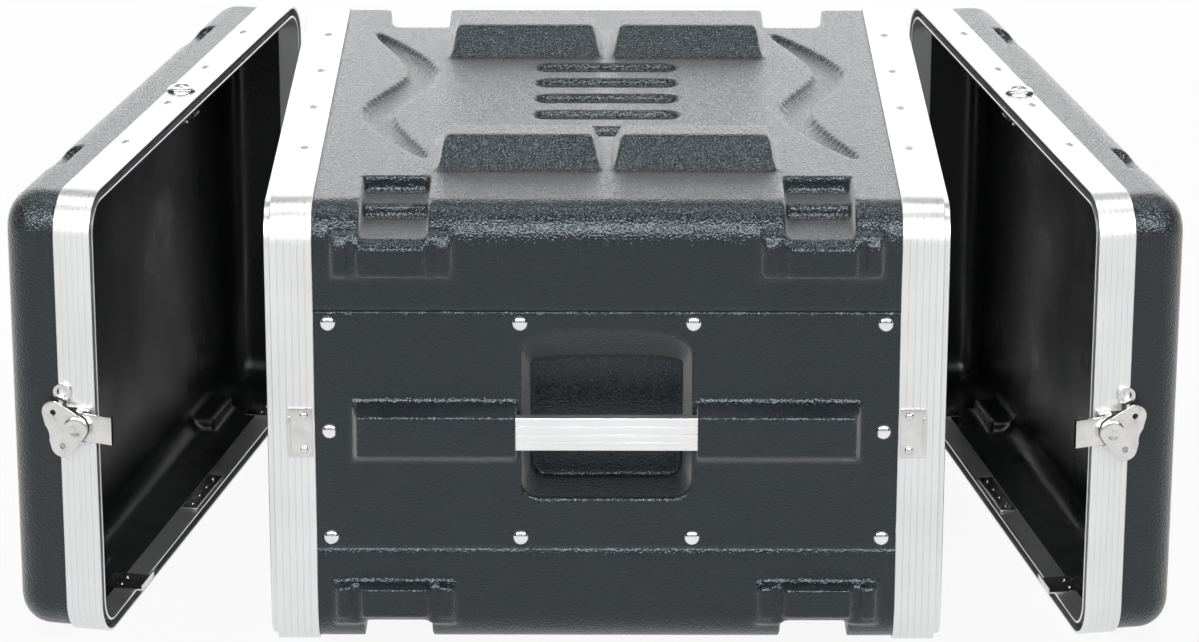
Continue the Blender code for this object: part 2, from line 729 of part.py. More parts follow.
def side_panel():
    edge = SHELL_END
    panel = box((-edge, -SHELL_Y, PANEL_BOTTOM), (edge, -PANEL_Y, PANEL_TOP))
    cup = grip_loft(-SHELL_Y + PANEL_THICKNESS / 2, -SHELL_Y + GRIP_DEPTH + GRIP_WALL, GRIP_WALL)
    panel = union(panel, cup, housing(-1), housing(1))
    panel = subtract(panel, grip_loft(-SHELL_Y - 0.0005, -SHELL_Y + GRIP_DEPTH, 0),
                     bar_block(GAP, HOUSING_X[0] + BAR_SOCKET + GAP))
    return subtract(panel, rivet_holes((-RIVET_Z, 0, RIVET_Z), PANEL_Y - OVER, SHELL_Y + OVER))


def handle_bar():
    """The aluminium bar, with long grooves in its face."""
    reach = HOUSING_X[0] + BAR_SOCKET
    bar = bar_block(0, reach)
    front = -BAR_FRONT
    visible = HOUSING_X[0] - GAP
    grooves = []
    for i in range(BAR_GROOVES):
        level = MID_Z + BAR_RISE + (i - (BAR_GROOVES - 1) / 2) * BAR_HEIGHT / (BAR_GROOVES + 1)
        grooves.append(box((-visible, front - OVER, level - BAR_GROOVE / 2),
                           (visible, front + BAR_GROOVE / 2, level + BAR_GROOVE / 2)))
    return subtract(bar, joined(*grooves))


def rivet(x, level, reach):
    """A domed rivet: a turned profile whose shank runs inwards past the sheets it holds."""
    head_y = SHELL_Y + GAP
    steps = 3
    profile = [(RIVET_HEAD * math.sin(math.pi / 2 * i / steps),
                RIVET_DOME * math.cos(math.pi / 2 * i / steps)) for i in range(steps + 1)]
    profile += [(RIVET_SHANK, 0), (RIVET_SHANK, -reach), (0, -reach)]
    bm = bmesh.new()
    verts = [bm.verts.new((radius, 0, height)) for radius, height in profile]
    for first, second in zip(verts, verts[1:]):
        bm.edges.new((first, second))
    mesh = bpy.data.meshes.new("rivet_profile")
    bm.to_mesh(mesh)
    bm.free()
    obj = bpy.data.objects.new("rivet_profile", mesh)
    bpy.context.scene.collection.objects.link(obj)
    turn = obj.modifiers.new("turn", "SCREW")
    turn.axis = "Z"
    turn.steps = turn.render_steps = 8
    turn.use_merge_vertices = True
    turn.merge_threshold = 1e-5
    graph = bpy.context.evaluated_depsgraph_get()
    turned = bpy.data.meshes.new_from_object(obj.evaluated_get(graph))
    bpy.data.objects.remove(obj, do_unlink=True)
    turned.transform(Matrix.Translation((x, -head_y, MID_Z + level))
                     @ Matrix.Rotation(math.pi / 2, 4, "X"))
    bm = bmesh.new()
    bm.from_mesh(turned)
    return finish_mesh(bm, "rivet")


def rivet_reach(x, level):
    """From under the head to just past the last sheet on that rivet."""
    flange = abs(x) == RIVET_OUTER_X
    sheets = SHELL_Y - (CAVITY_Y - GAP - RAIL_SHEET) if flange else WALL
    return sheets + GAP + RIVET_TAIL


def rack_rail():
    """An angle for the front, near corner, drilled to the rack pattern."""
    face = box((-RACK_FACE, -CAVITY_Y + GAP, MID_Z - RACK_HALF),
               (-RACK_FACE + RAIL_SHEET, -RACK_CLEAR / 2, MID_Z + RACK_HALF))
    flange = box((-RACK_FACE, -CAVITY_Y + GAP, MID_Z - RACK_HALF),
                 (-RACK_FACE + RAIL_FLANGE, -CAVITY_Y + GAP + RAIL_SHEET, MID_Z + RACK_HALF))
    rail = union(face, flange)
    holes = []
    for unit in range(RACK_UNITS):
        for offset in RACK_HOLE_LEVELS:
            level = MID_Z - RACK_HALF + unit * RACK_UNIT + offset
            holes.append(cylinder((-RACK_FACE, -RACK_HOLES / 2, level), RACK_HOLE, OVER, "X", 6))
    rail = subtract(rail, joined(*holes))
    return subtract(rail, joined(*[cylinder((-RIVET_OUTER_X, -CAVITY_Y, MID_Z + level),
                                            RIVET_SHANK + GAP, OVER, "Y", 8)
                                   for level in (-RIVET_Z, 0, RIVET_Z)]))


def strike():
    """The keeper plate on the body valance, with its raised lip and two rivet heads."""
    start, end = STRIKE_X
    lip_width, lip_half, lip_top = STRIKE_LIP
    low_y = -HALF_W - GAP
    plate = box((-RIM + start, low_y - STRIKE_SHEET, MID_Z - STRIKE_HALF),
                (-RIM + end, low_y, MID_Z + STRIKE_HALF))
    lip = box((-RIM + start, -HALF_W - lip_top, MID_Z - lip_half),
              (-RIM + start + lip_width, low_y - STRIKE_SHEET / 2, MID_Z + lip_half))
    from_edge, off_centre, radius, height = STRIKE_RIVET
    heads = [cylinder((-RIM + end - from_edge, low_y - STRIKE_SHEET, MID_Z + side * off_centre),
                      radius, height, "Y", 12) for side in (-1, 1)]
    return union(plate, lip, *heads)


# ---- lids --------------------------------------------------------------------------------------
def lid_notch(side, grow):
    """A notch over the lid's outer edge, at the top or turned to the bottom."""
    reach, width, depth = LID_NOTCH
    half = width / 2 + grow
    level = MID_Z + side * (SHELL_TOP / 2 - depth - grow)
    low, high = sorted((level, MID_Z + side * (SHELL_TOP / 2 + OVER)))
    return box((-LID_BACK - OVER, -LID_FOOT_Y - half, low),
               (-LID_BACK + reach + grow, -LID_FOOT_Y + half, high))


def both_ends(mesh):
    """A cutter at its near place and reflected to the far one."""
    return joined(reflected(mesh, 1, 1), reflected(mesh, 1, -1))


def lid_foot(side):
    length, height, proud = LID_FOOT
    level = MID_Z + side * LID_FOOT_Z
    edge = LID_FOOT_DRAFT
    return tapered_box((-LID_BACK - proud, -LID_FOOT_Y - length / 2 + edge,
                        level - height / 2 + edge),
                       (-LID_BACK - proud, -LID_FOOT_Y + length / 2 - edge,
                        level + height / 2 - edge),
                       (-LID_BACK + SINK, -LID_FOOT_Y - length / 2, level - height / 2),
                       (-LID_BACK + SINK, -LID_FOOT_Y + length / 2, level + height / 2), 0)


def lid_shell():
    shell = domed_prism(-LID_BACK, -LID_SHELL_START, SHELL_Y, 0, SHELL_TOP, SHELL_RADIUS, LID_EDGE)
    for side in (-1, 1):
        foot = lid_foot(side)
        shell = union(shell, reflected(foot, 1, 1), reflected(foot, 1, -1))
    hollow = domed_prism(-LID_BACK + WALL, -RIM, SHELL_Y - WALL, WALL, SHELL_TOP - WALL,
                         SHELL_RADIUS - WALL, LID_EDGE - WALL)
    for side in (-1, 1):
        shell = subtract(shell, both_ends(lid_notch(side, 0)))
        hollow = subtract(hollow, both_ends(lid_notch(side, WALL)))
    return subtract(shell, hollow, lock_hole())


def lid_hook():
    """The bracket on the lid's bottom leg whose curled tongue reaches into the case."""
    width, length, sheet = LID_HOOK
    level = VALANCE_BOTTOM + INNER_BACK + GAP
    start = -LID_RIM - length
    tip = -LID_RIM + LID_HOOK_REACH
    plate = box((start, -LID_HOOK_Y - width / 2, level),
                (tip, -LID_HOOK_Y + width / 2, level + sheet))
    curl = box((tip - sheet, -LID_HOOK_Y - width / 2, level + sheet / 2),
               (tip, -LID_HOOK_Y + width / 2, level + LID_HOOK_CURL))
    return union(plate, curl)


# ---- latches -----------------------------------------------------------------------------------
def from_lid_rim(distance):
    """x of a place on the front lid, measured back from its rim."""
    return -LID_RIM - distance


def latch_base():
    """The fixed plate with its pivot boss, padlock eye and two ears for the hook's pin."""
    start, end, half = LATCH_BASE
    outer = -HALF_W - GAP
    face = outer - LATCH_SHEET
    base = box((from_lid_rim(end), face, MID_Z - half), (from_lid_rim(start), outer, MID_Z + half))
    eye_x = from_lid_rim(LATCH_PIVOT + EYE_PLACE[0])
    eye_z = MID_Z + EYE_PLACE[1]
    eye_deep = LATCH_SHEET + EYE_THICKER
    eye = cylinder((eye_x, outer - eye_deep / 2, eye_z), EYE_RADII[0], eye_deep, "Y", 16)
    neck = box((eye_x - EYE_NECK, outer - LATCH_SHEET, MID_Z + half - SINK),
               (eye_x + EYE_NECK, outer - NECK_STEP, eye_z))
    boss = cylinder((from_lid_rim(LATCH_PIVOT), -HALF_W - (BOSS_TOP + BOSS_FOOT) / 2,
                     MID_Z), BOSS_RADIUS, BOSS_TOP - BOSS_FOOT, "Y", 12)
    ear_half, ear_sheet, room = EAR
    ear_low = HOOK_HALF + room
    ears = [box((from_lid_rim(HOOK_AXIS[0] + ear_half), -HALF_W - HOOK_AXIS[1] - ear_half,
                 MID_Z + (ear_low if side > 0 else -ear_low - ear_sheet)),
                (from_lid_rim(HOOK_AXIS[0] - ear_half), outer - NECK_STEP,
                 MID_Z + (ear_low + ear_sheet if side > 0 else -ear_low))) for side in (-1, 1)]
    base = union(base, eye, neck, boss, *ears)
    pin_way = cylinder((from_lid_rim(HOOK_AXIS[0]), -HALF_W - HOOK_AXIS[1], MID_Z),
                       HOOK_PIN + GAP, 4 * HOOK_HALF, "Z", 8)
    return subtract(base, cylinder((eye_x, -HALF_W, eye_z), EYE_RADII[1], 2 * OVER, "Y", 16),
                    pin_way)


def latch_hook():
    """The hook in its lowered place: a plate on a cross pin, with a lip turned inwards."""
    axis_x = from_lid_rim(HOOK_AXIS[0])
    tip = -RIM + HOOK_TIP
    under = -HALF_W - HOOK_UNDER
    plate = box((axis_x - HOOK_TAIL, under - HOOK_SHEET, MID_Z - HOOK_HALF),
                (tip, under, MID_Z + HOOK_HALF))
    lip = box((tip - HOOK_LIP, under - HOOK_SHEET / 2, MID_Z - HOOK_HALF),
              (tip, -HALF_W - HOOK_LIP_END, MID_Z + HOOK_HALF))
    pin = cylinder((axis_x, -HALF_W - HOOK_AXIS[1], MID_Z), HOOK_PIN,
                   2 * (HOOK_HALF + 0.0025), "Z", 8)
    return union(plate, lip, pin)


def latch_wing():
    """The turning wing: a bean-shaped plate under an offset disc, bored for the pivot boss."""
    pivot_x = from_lid_rim(LATCH_PIVOT)
    steps = 12
    points = []
    for back, up, radius in (*WING_LOBES, (-DISC_OFFSET, 0, DISC_RADIUS)):
        centre = (pivot_x - back, MID_Z + up)
        points += [(round(x, 7), round(z, 7)) for x, z in arc(centre, radius, 0, 330, steps - 1)]
    low = -HALF_W - WING_LEVEL - WING_SHEET
    plate = extruded(convex_hull(points), 1, low, -HALF_W - WING_LEVEL)
    behind, above, waist_radius = WING_WAIST
    waist = cylinder((pivot_x - behind, low, MID_Z + above), waist_radius, OVER, "Y", 20)
    plate = subtract(plate, waist)
    disc_deep = DISC_TOP - WING_LEVEL - WING_SHEET / 2
    disc = cylinder((pivot_x + DISC_OFFSET, -HALF_W - DISC_TOP + disc_deep / 2, MID_Z),
                    DISC_RADIUS, disc_deep, "Y", 16)
    plate = union(plate, disc)
    ways = [cylinder((pivot_x, -HALF_W - DISC_TOP, MID_Z), BOSS_RADIUS + GAP, 2 * OVER, "Y", 12)]
    ways += [cylinder((pivot_x - back, low, MID_Z + up), WING_HOLE, OVER, "Y", 10)
             for back, up, radius in WING_LOBES]
    return subtract(plate, joined(*ways))


# ---- locks -------------------------------------------------------------------------------------
def lock_axis():
    return Vector((from_lid_rim(LOCK_FROM_RIM), 0, VALANCE_TOP))


def lock_hole():
    """The way for the lock's tube through the lid's valance and shell."""
    axis = lock_axis()
    return cylinder((axis.x, 0, axis.z), LOCK_TUBE + GAP, 3 * OVER, "Z", 16)


def lock_barrel():
    axis = lock_axis()
    bezel = cylinder((axis.x, 0, axis.z + GAP + BEZEL_HEIGHT / 2), LOCK_BEZEL, BEZEL_HEIGHT,
                     "Z", 20)
    tube = cylinder((axis.x, 0, axis.z + GAP + LOCK_END - LOCK_LENGTH / 2), LOCK_TUBE,
                    LOCK_LENGTH + LOCK_END, "Z", 16)
    nut_radius, nut_height = LOCK_NUT
    nut = cylinder((axis.x, 0, axis.z - INNER_BACK - GAP - nut_height / 2), nut_radius,
                   nut_height, "Z", 6)
    bore = cylinder((axis.x, 0, axis.z), LOCK_BORE, 4 * LOCK_LENGTH, "Z", 14)
    return subtract(union(bezel, tube, nut), bore)


def lock_plug():
    """The turning plug with its key slot, and the cam under it, pointing to the far side."""
    axis = lock_axis()
    bottom = LOCK_BOTTOM
    reach, half, sheet = LOCK_CAM
    top = axis.z + PLUG_HEIGHT
    slot_half, slot_reach, slot_depth = KEY_SLOT
    plug = cylinder((axis.x, 0, (top + bottom - sheet) / 2), LOCK_BORE - GAP,
                    top - bottom + sheet, "Z", 14)
    cam = box((axis.x - half, -half, bottom - sheet), (axis.x + half, reach, bottom))
    slot = box((axis.x - slot_half, -slot_reach, top - slot_depth),
               (axis.x + slot_half, slot_reach, top + OVER))
    return subtract(union(plug, cam), slot)


# ---- assembly ----------------------------------------------------------------------------------
def lid_pole(side_x):
    """The upright line, beyond the far side, about which a lid swings out."""
    empty = bpy.data.objects.new("front_pole" if side_x > 0 else "rear_pole", None)
    bpy.context.scene.collection.objects.link(empty)
    empty.location = (-side_x * RIM, HALF_W + POLE_OFFSET, 0)
    return empty


def build_body(parts):
    add_part(parts, "case_top_shell", top_shell(), PLASTIC)
    add_part(parts, "case_bottom_shell", bottom_shell(), PLASTIC)
    panel, bar = side_panel(), handle_bar()
    valance, rail, keeper = body_valance(), rack_rail(), strike()
    sides = (("near", 1), ("far", -1))
    ends = (("front", 1), ("rear", -1))
    for side, sy in sides:
        add_part(parts, f"side_panel_{side}", reflected(panel, 1, sy), PLASTIC)
        add_part(parts, f"handle_bar_{side}", reflected(bar, 1, sy), ALUMINIUM)
        for number, (x, level) in enumerate(side_rivet_places(), start=1):
            mesh = reflected(rivet(x, level, rivet_reach(x, level)), 1, sy)
            add_part(parts, f"rivet_{side}_{number:02d}", mesh, CHROME, smooth=True)
    for end, sx in ends:
        add_part(parts, f"{end}_valance", reflected(valance, sx, 1), ALUMINIUM)
        for side, sy in sides:
            add_part(parts, f"rack_rail_{end}_{side}", reflected(rail, sx, sy), BLACK_STEEL)
            add_part(parts, f"strike_{end}_{side}", reflected(keeper, sx, sy), NICKEL)


def build_latch(parts, end, side, sx, sy, pole):
    """One latch in its opened state: the hook lifted clear of its strike."""
    name = f"{end}_latch_%s_{side}"
    pivot = Vector((sx * from_lid_rim(LATCH_PIVOT), -sy * HALF_W, MID_Z))
    hinge = Vector((sx * from_lid_rim(HOOK_AXIS[0]), -sy * (HALF_W + HOOK_AXIS[1]), MID_Z))
    add_part(parts, name % "base", reflected(latch_base(), sx, sy), NICKEL, parent=pole)
    add_part(parts, name % "wing", reflected(latch_wing(), sx, sy), NICKEL, pivot, pole)
    hook = add_part(parts, name % "hook", reflected(latch_hook(), sx, sy), NICKEL, hinge, pole)
    hook.rotation_euler.z = -sx * sy * math.radians(HOOK_LIFT_DEG)


def build_lid(parts, end, sx, rest_deg):
    pole = lid_pole(sx)
    add_part(parts, f"{end}_lid_shell", reflected(lid_shell(), sx, 1), PLASTIC, parent=pole)
    add_part(parts, f"{end}_lid_valance", reflected(lid_valance(), sx, 1), ALUMINIUM, parent=pole)
    for side, sy in (("near", 1), ("far", -1)):
        add_part(parts, f"{end}_lid_hook_{side}", reflected(lid_hook(), sx, sy), NICKEL,
                 parent=pole)
        build_latch(parts, end, side, sx, sy, pole)
    axis = Vector((sx * lock_axis().x, 0, lock_axis().z))
    add_part(parts, f"{end}_lock_barrel", reflected(lock_barrel(), sx, 1), NICKEL, parent=pole)
    add_part(parts, f"{end}_lock_plug", reflected(lock_plug(), sx, 1), NICKEL, axis, pole)
    pole.rotation_euler.z = -sx * math.radians(rest_deg)


def main():
    clear_scene()
    parts = new_collection("equipment_rack_case")
    build_body(parts)
    build_lid(parts, "front", 1, FRONT_REST_DEG)
    build_lid(parts, "rear", -1, REAR_REST_DEG)
    bpy.context.view_layer.update()


main()
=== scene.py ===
"""The looks of a moulded rack case: its finely grained shells, drawn aluminium valances, plated
latches and locks, and the plain studio it stands in.

Metres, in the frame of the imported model: X runs from the front lid to the rear lid, the near
handle is at -Y and Z is up.  Shapes are made for the front, near quarter of the closed case and
then reflected, and a lid's pieces are carried to where the lid stands.
"""
import json
import math

import bmesh
import bpy
from mathutils import Matrix, Vector


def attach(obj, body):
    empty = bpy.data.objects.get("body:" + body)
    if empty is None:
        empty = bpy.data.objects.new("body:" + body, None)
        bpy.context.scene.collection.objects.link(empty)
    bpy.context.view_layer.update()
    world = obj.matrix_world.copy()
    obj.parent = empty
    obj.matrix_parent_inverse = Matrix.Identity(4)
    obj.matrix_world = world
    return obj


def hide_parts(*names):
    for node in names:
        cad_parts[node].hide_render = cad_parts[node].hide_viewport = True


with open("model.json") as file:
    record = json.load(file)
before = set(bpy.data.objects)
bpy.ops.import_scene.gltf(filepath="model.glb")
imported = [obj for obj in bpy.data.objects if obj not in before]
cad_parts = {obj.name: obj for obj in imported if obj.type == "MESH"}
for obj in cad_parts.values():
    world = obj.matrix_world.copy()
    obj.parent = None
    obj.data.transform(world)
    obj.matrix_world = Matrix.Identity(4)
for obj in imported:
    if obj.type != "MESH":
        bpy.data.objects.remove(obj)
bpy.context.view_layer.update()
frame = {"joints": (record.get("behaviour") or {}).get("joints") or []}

# ---- sizes only the looks need -----------------------------------------------------------------
VOXEL = 0.0022               # how fine a moulded skin is
EDGE = 0.0004                # broken edges of the aluminium
SOFT_EDGE = 0.0003           # and of most pressed or drawn metal
WELD = 1e-6                  # points closer than this are one
RING_CREASE = 30             # degrees
TURNED_IN = 0.02             # how squarely a face must look inwards to be the inside
RIB_COUNT = 5                # fine grooves along an aluminium edge
RIB_WIDTH = 0.0010
RIB_DEPTH = 0.00030
SEAL_EDGE = 0.0004
SEAL_HEIGHT = 0.0007
STAKE_Y = (-0.135, -0.033, 0.065, 0.167)
STAKE_FROM_RIM = 0.0165
STAKE_BAR = 0.0013
STAKE_STEP = 0.0030
STAKE_LONG = 0.0034
STAKE_SHORT = 0.0056
STAKE_HIGH = 0.00016
SPLICE = (0.070, 0.012, 0.0012)
SPLICE_IN = 0.002
SPLICE_RIVET_Y = (-0.027, -0.009, 0.009, 0.027)
DISC_PROFILE = ((0, 0.0004), (0.45, 0.0004), (0.55, 0.0009), (0.86, 0.0009), (1, 0.0002),
                (1, -0.0004), (0, -0.0004))   # share of the radius, height
LATCH_RIVET = (0.0017, 0.0009)
LATCH_RIVET_INSET = 0.0027
LOCK_TRIM = 0.03             # half the block that takes the plain bezel off the lock

# ---- studio ------------------------------------------------------------------------------------
FLOOR_SIZE = 9.0
FLOOR_DEEP = 0.02
FLOOR_GAP = 0.0002                     # under the case
FLOOR_GLOW = 0.92
LIT_POINT = (0.0, 0.0, 0.15)           # where the softboxes aim
WORLD_FILL = 0.45
SOFTBOXES = (("back_softbox", (0.0, 3.3, 1.25), (3.4, 0.8), 75.0),
             ("top_softbox", (0.0, -0.2, 2.6), (2.6, 0.8), 42.0),
             ("front_softbox", (-0.6, -3.0, 2.2), (2.2, 1.4), 30.0))
CARD = (4.0, 178.0, 8.0, 4.3)          # from and to, in degrees of height; width; distance
CARD_LIGHT = ((0.0, 2.0), (30.0, 2.0), (46.0, 0.8), (60.0, 0.08), (82.0, 0.08), (84.5, 8.0),
              (90.0, 8.0), (93.0, 0.08), (128.0, 0.08), (138.0, 12.0), (146.0, 12.0),
              (153.0, 0.5), (180.0, 0.5))
CARD_BRIGHTEST = 12.0
CARD_STEPS = 12
CAMERA_LENS = 138.1
CAMERA_PLACE = (-0.005, -3.25, 1.2572)
CAMERA_TURN = (18.84, 0.09, 0.0)      # down, roll, to the left, in degrees
CAMERA_SHIFT = (0.0, 0.0)

# ---- overall sizes -------------------------------------------------------------------------
WIDTH = 0.549                # over the valances, side to side
DEPTH = 0.460                # body only, rim to rim
HEIGHT = 0.326               # over the valances
CORNER_RADIUS = 0.029        # outside of the valances, seen from the front
CORNER_STEPS = 18
GAP = 0.0003                 # between pieces that touch
SINK = 0.002                 # how far a raised shape reaches into what it grows from

# ---- moulded walls and aluminium valances --------------------------------------------------
WALL = 0.005
VALANCE_SHEET = 0.002
INNER_SHEET = 0.0018
INNER_LEG = 0.016
BODY_LEG = 0.029
LID_LEG = 0.026
BODY_WEB = 0.0022
TONGUE_LENGTH = 0.004
TONGUE_THICKNESS = 0.0014
GROOVE_DEPTH = 0.0045
GROOVE_WEB = 0.0018

# ---- stacking pads, side bumpers, corner notches --------------------------------------------
PAD_X = (0.0045, 0.118)
PAD_Y = (0.105, 0.186)
PAD_TOP_X = (0.010, 0.1135)
PAD_TOP_Y = (0.134, 0.159)
PAD_HEIGHT = 0.019
PAD_WALL = 0.007             # measured level, so that its sloping sides are as thick as the rest
NEST_CLEARANCE = 0.0007
BUMPER_FROM_RIM = 0.083           # its middle
BUMPER_FROM_TOP = 0.0327
BUMPER_LENGTH = 0.0865
BUMPER_HEIGHT = 0.033
BUMPER_BASE = 0.004
BUMPER_LUMP = 0.0095
BUMPER_SIDE_LUMP = 0.0070
BUMPER_SLOPES = (0.0025, 0.004, 0.002)        # of the base, the middle lump, the end lumps
LUMP_REACH = 0.31                             # of the length, each way from the middle
END_LUMP_SPAN = (0.345, 0.488)
LUMP_INSETS = ((0.001, 0.005), (0.002, 0.006))   # middle and end lumps: bottom, top
NOTCH_FROM_RIM = 0.0845           # its middle
NOTCH_WIDTH = 0.047
NOTCH_REACH = (0.0755, 0.046)     # from the case side: upper floor, lower floor
NOTCH_DEPTH = (0.0115, 0.021)     # below the moulded top: upper floor, lower floor

# ---- relief in the moulded top ---------------------------------------------------------------
RELIEF_DEPTH = 0.0058
RELIEF_WALL = 0.0035
WAVE_X = 0.1515
WAVE_Y = 0.0125
WAVE_WIDTH = 0.024
WAVE_FADE = 0.7              # how quickly it narrows to its tips
WAVE_SPINE = ((-0.0255, 0.168), (0.0143, 0.055), (-0.0143, -0.055), (0.0255, -0.168))
FLUTE_COUNT = 5
FLUTE_LENGTH = 0.106
FLUTE_WIDTH = 0.022
FLUTE_PITCH = 0.042
FLUTE_CENTRE_Y = -0.002

# ---- side panel with its grip and handle -----------------------------------------------------
PANEL_HEIGHT = 0.176
PANEL_THICKNESS = 0.0025
SKIRT = 0.020
GRIP_HALF = 0.059
GRIP_BOTTOM = -0.0495
GRIP_SHOULDER = 0.056
GRIP_TOP = 0.074
FLOOR_HALF = 0.053
FLOOR_BOTTOM = -0.046
FLOOR_SHOULDER = 0.038
FLOOR_TOP = 0.043
GRIP_DEPTH = 0.036
GRIP_START = 0.0005           # its cutter starts this far outside the panel
GRIP_CORNER = 0.012
GRIP_ARCH = (0.7, 0.85)       # how square the arched head is, across and upwards
GRIP_WALL = 0.0025
GRIP_HEAD_INSET = 0.0045      # the skirt is cut this much narrower than the grip
HOUSING_X = (0.0625, 0.176)
HOUSING_PROUD = 0.0135
HOUSING_BASE = 0.023
HOUSING_FACE = 0.0142
BAR_HEIGHT = 0.0237
BAR_THICKNESS = 0.008
BAR_RISE = 0.0022
BAR_RECESS = 0.0008               # behind the housing's face
BAR_GROOVES = 3
BAR_GROOVE = 0.0008

# ---- rivets and rack rails -------------------------------------------------------------------
RIVET_FROM_RIM = 0.039
RIVET_INNER_X = 0.0595
RIVET_FROM_PANEL_EDGE = 0.0095
RIVET_HEAD = 0.0055
RIVET_DOME = 0.0028
RACK_UNIT = 0.04445
RACK_UNITS = 6
RACK_HOLES = 0.4651
RACK_CLEAR = 0.450
RACK_SETBACK = 0.0285
RACK_HOLE = 0.0034
RACK_HOLE_LEVELS = (0.25 * 0.0254, 0.875 * 0.0254, 1.5 * 0.0254)   # in each unit
RAIL_SHEET = 0.002
RAIL_FLANGE = 0.024

# ---- lids ------------------------------------------------------------------------------------
LID_DEPTH = 0.0655
LID_EDGE = 0.021
LID_FOOT = (0.028, 0.026, 0.0022)
LID_FOOT_Y = 0.165
LID_FOOT_Z = 0.090
LID_FOOT_DRAFT = 0.001
LID_NOTCH = (0.020, 0.047, 0.010)
RIM_GAP = 0.0004
LID_HOOK_Y = 0.185
LID_HOOK = (0.028, 0.024, 0.0015)
LID_HOOK_REACH = 0.006
LID_HOOK_CURL = 0.005

# ---- latches, strikes and locks ----------------------------------------------------------------
LATCH_PIVOT = 0.0135
LATCH_BASE = (0.0025, 0.0265, 0.0130)
LATCH_SHEET = 0.0015
WING_LEVEL = 0.0075
WING_SHEET = 0.0016
DISC_TOP = 0.0110
DISC_RADIUS = 0.0085
DISC_OFFSET = 0.0022
BOSS_RADIUS = 0.0028
BOSS_TOP = 0.0118
BOSS_FOOT = 0.0010                # where it starts, inside the base plate
NECK_STEP = 0.0002                # back from the base plate's underside
WING_LOBES = ((0.0140, 0.0106, 0.0080), (0.0077, -0.0134, 0.0084))
EYE_PLACE = (0.0092, 0.0234)
EYE_RADII = (0.0063, 0.0038)
EYE_NECK = 0.003                  # half width
EYE_THICKER = 0.001               # than the base plate
EAR = (0.0025, 0.0020, 0.0005)    # half width, thickness, room beside the hook
WING_HOLE = 0.0021
WING_WAIST = (0.0305, -0.0075, 0.0135)   # behind the pivot, above it, radius
HOOK_AXIS = (0.0090, 0.0035)
HOOK_HALF = 0.0100
HOOK_SHEET = 0.0016
HOOK_UNDER = 0.0039
HOOK_TAIL = 0.0013
HOOK_TIP = 0.0150
HOOK_LIP = 0.0018
HOOK_LIP_END = 0.0024
HOOK_PIN = 0.0012
HOOK_PIN_END = 0.0025             # past the hook, into the ears
STRIKE_X = (0.0105, 0.0275)
STRIKE_HALF = 0.0180
STRIKE_SHEET = 0.0010
STRIKE_LIP = (0.0018, 0.0120, 0.0036)
STRIKE_RIVET = (0.0060, 0.0125, 0.0030, 0.0018)   # from its edge, off centre, radius, height
LOCK_FROM_RIM = 0.0155
LOCK_BEZEL = 0.0110
LOCK_TUBE = 0.0085
LOCK_BORE = 0.0058
LOCK_LENGTH = 0.020
LOCK_END = 0.0010                 # the plug, past the tube
BEZEL_HEIGHT = 0.0028
BEZEL_ROUND = (0.0008, 0.0022, 0.0006)   # round the bore, to the flat, to the crown's foot
PLUG_HEIGHT = 0.0024
KEY_SLOT = (0.0006, 0.0030, 0.0015)   # half width, half length, depth
LOCK_NUT = (0.0115, 0.0030)
LOCK_CAM = (0.0225, 0.0060, 0.0020)

# ---- worked out --------------------------------------------------------------------------------
HALF_W = WIDTH / 2
RIM = DEPTH / 2
SKIN = VALANCE_SHEET + GAP                 # valance face to moulded face
SHELL_Y = HALF_W - SKIN
SHELL_TOP = HEIGHT - 2 * SKIN
SHELL_END = RIM - BODY_WEB - GAP
SHELL_RADIUS = CORNER_RADIUS - SKIN
MID_Z = SHELL_TOP / 2
VALANCE_BOTTOM = -SKIN
VALANCE_TOP = SHELL_TOP + SKIN
INNER_FACE = SKIN + WALL + GAP             # valance face to its inner leg
INNER_BACK = INNER_FACE + INNER_SHEET
PANEL_Y = SHELL_Y - PANEL_THICKNESS
SKIRT_Y = PANEL_Y - GAP
CAVITY_Y = SHELL_Y - WALL
PANEL_BOTTOM = MID_Z - PANEL_HEIGHT / 2
PANEL_TOP = MID_Z + PANEL_HEIGHT / 2
LID_RIM = RIM + RIM_GAP
LID_BACK = RIM + LID_DEPTH
LID_SHELL_START = LID_RIM + GROOVE_DEPTH + GROOVE_WEB + GAP
RACK_FACE = RIM - RACK_SETBACK
RACK_HALF = RACK_UNITS * RACK_UNIT / 2
BUMPER_X = RIM - BUMPER_FROM_RIM
BUMPER_LEVEL = SHELL_TOP - BUMPER_FROM_TOP
NOTCH_X = RIM - NOTCH_FROM_RIM
GRIP_RELIEF = GRIP_HALF - GRIP_HEAD_INSET
RIVET_OUTER_X = RIM - RIVET_FROM_RIM
RIVET_Z = PANEL_HEIGHT / 2 - RIVET_FROM_PANEL_EDGE
BAR_FRONT = SHELL_Y + HOUSING_PROUD - BAR_RECESS
PAST_SKIN = WALL * 0.6                     # deeper than this in a wall is its inside
LOCK_BOTTOM = VALANCE_TOP - LOCK_LENGTH - LOCK_END
OVER = 0.01                                # how far a cutter runs past what it cuts


# ---- mesh helpers ------------------------------------------------------------------------------
def finish_mesh(bm, name):
    """Turn a bmesh into a mesh with its faces pointing out."""
    bmesh.ops.recalc_face_normals(bm, faces=bm.faces)
    mesh = bpy.data.meshes.new(name)
    bm.to_mesh(mesh)
    bm.free()
    return mesh


def box(low, high):
    """An axis-aligned block between two corners."""
    low, high = Vector(low), Vector(high)
    bm = bmesh.new()
    bmesh.ops.create_cube(bm, size=1.0)
    size = high - low
    bmesh.ops.scale(bm, vec=size, verts=bm.verts)
    bmesh.ops.translate(bm, vec=(low + high) / 2, verts=bm.verts)
    return finish_mesh(bm, "box")


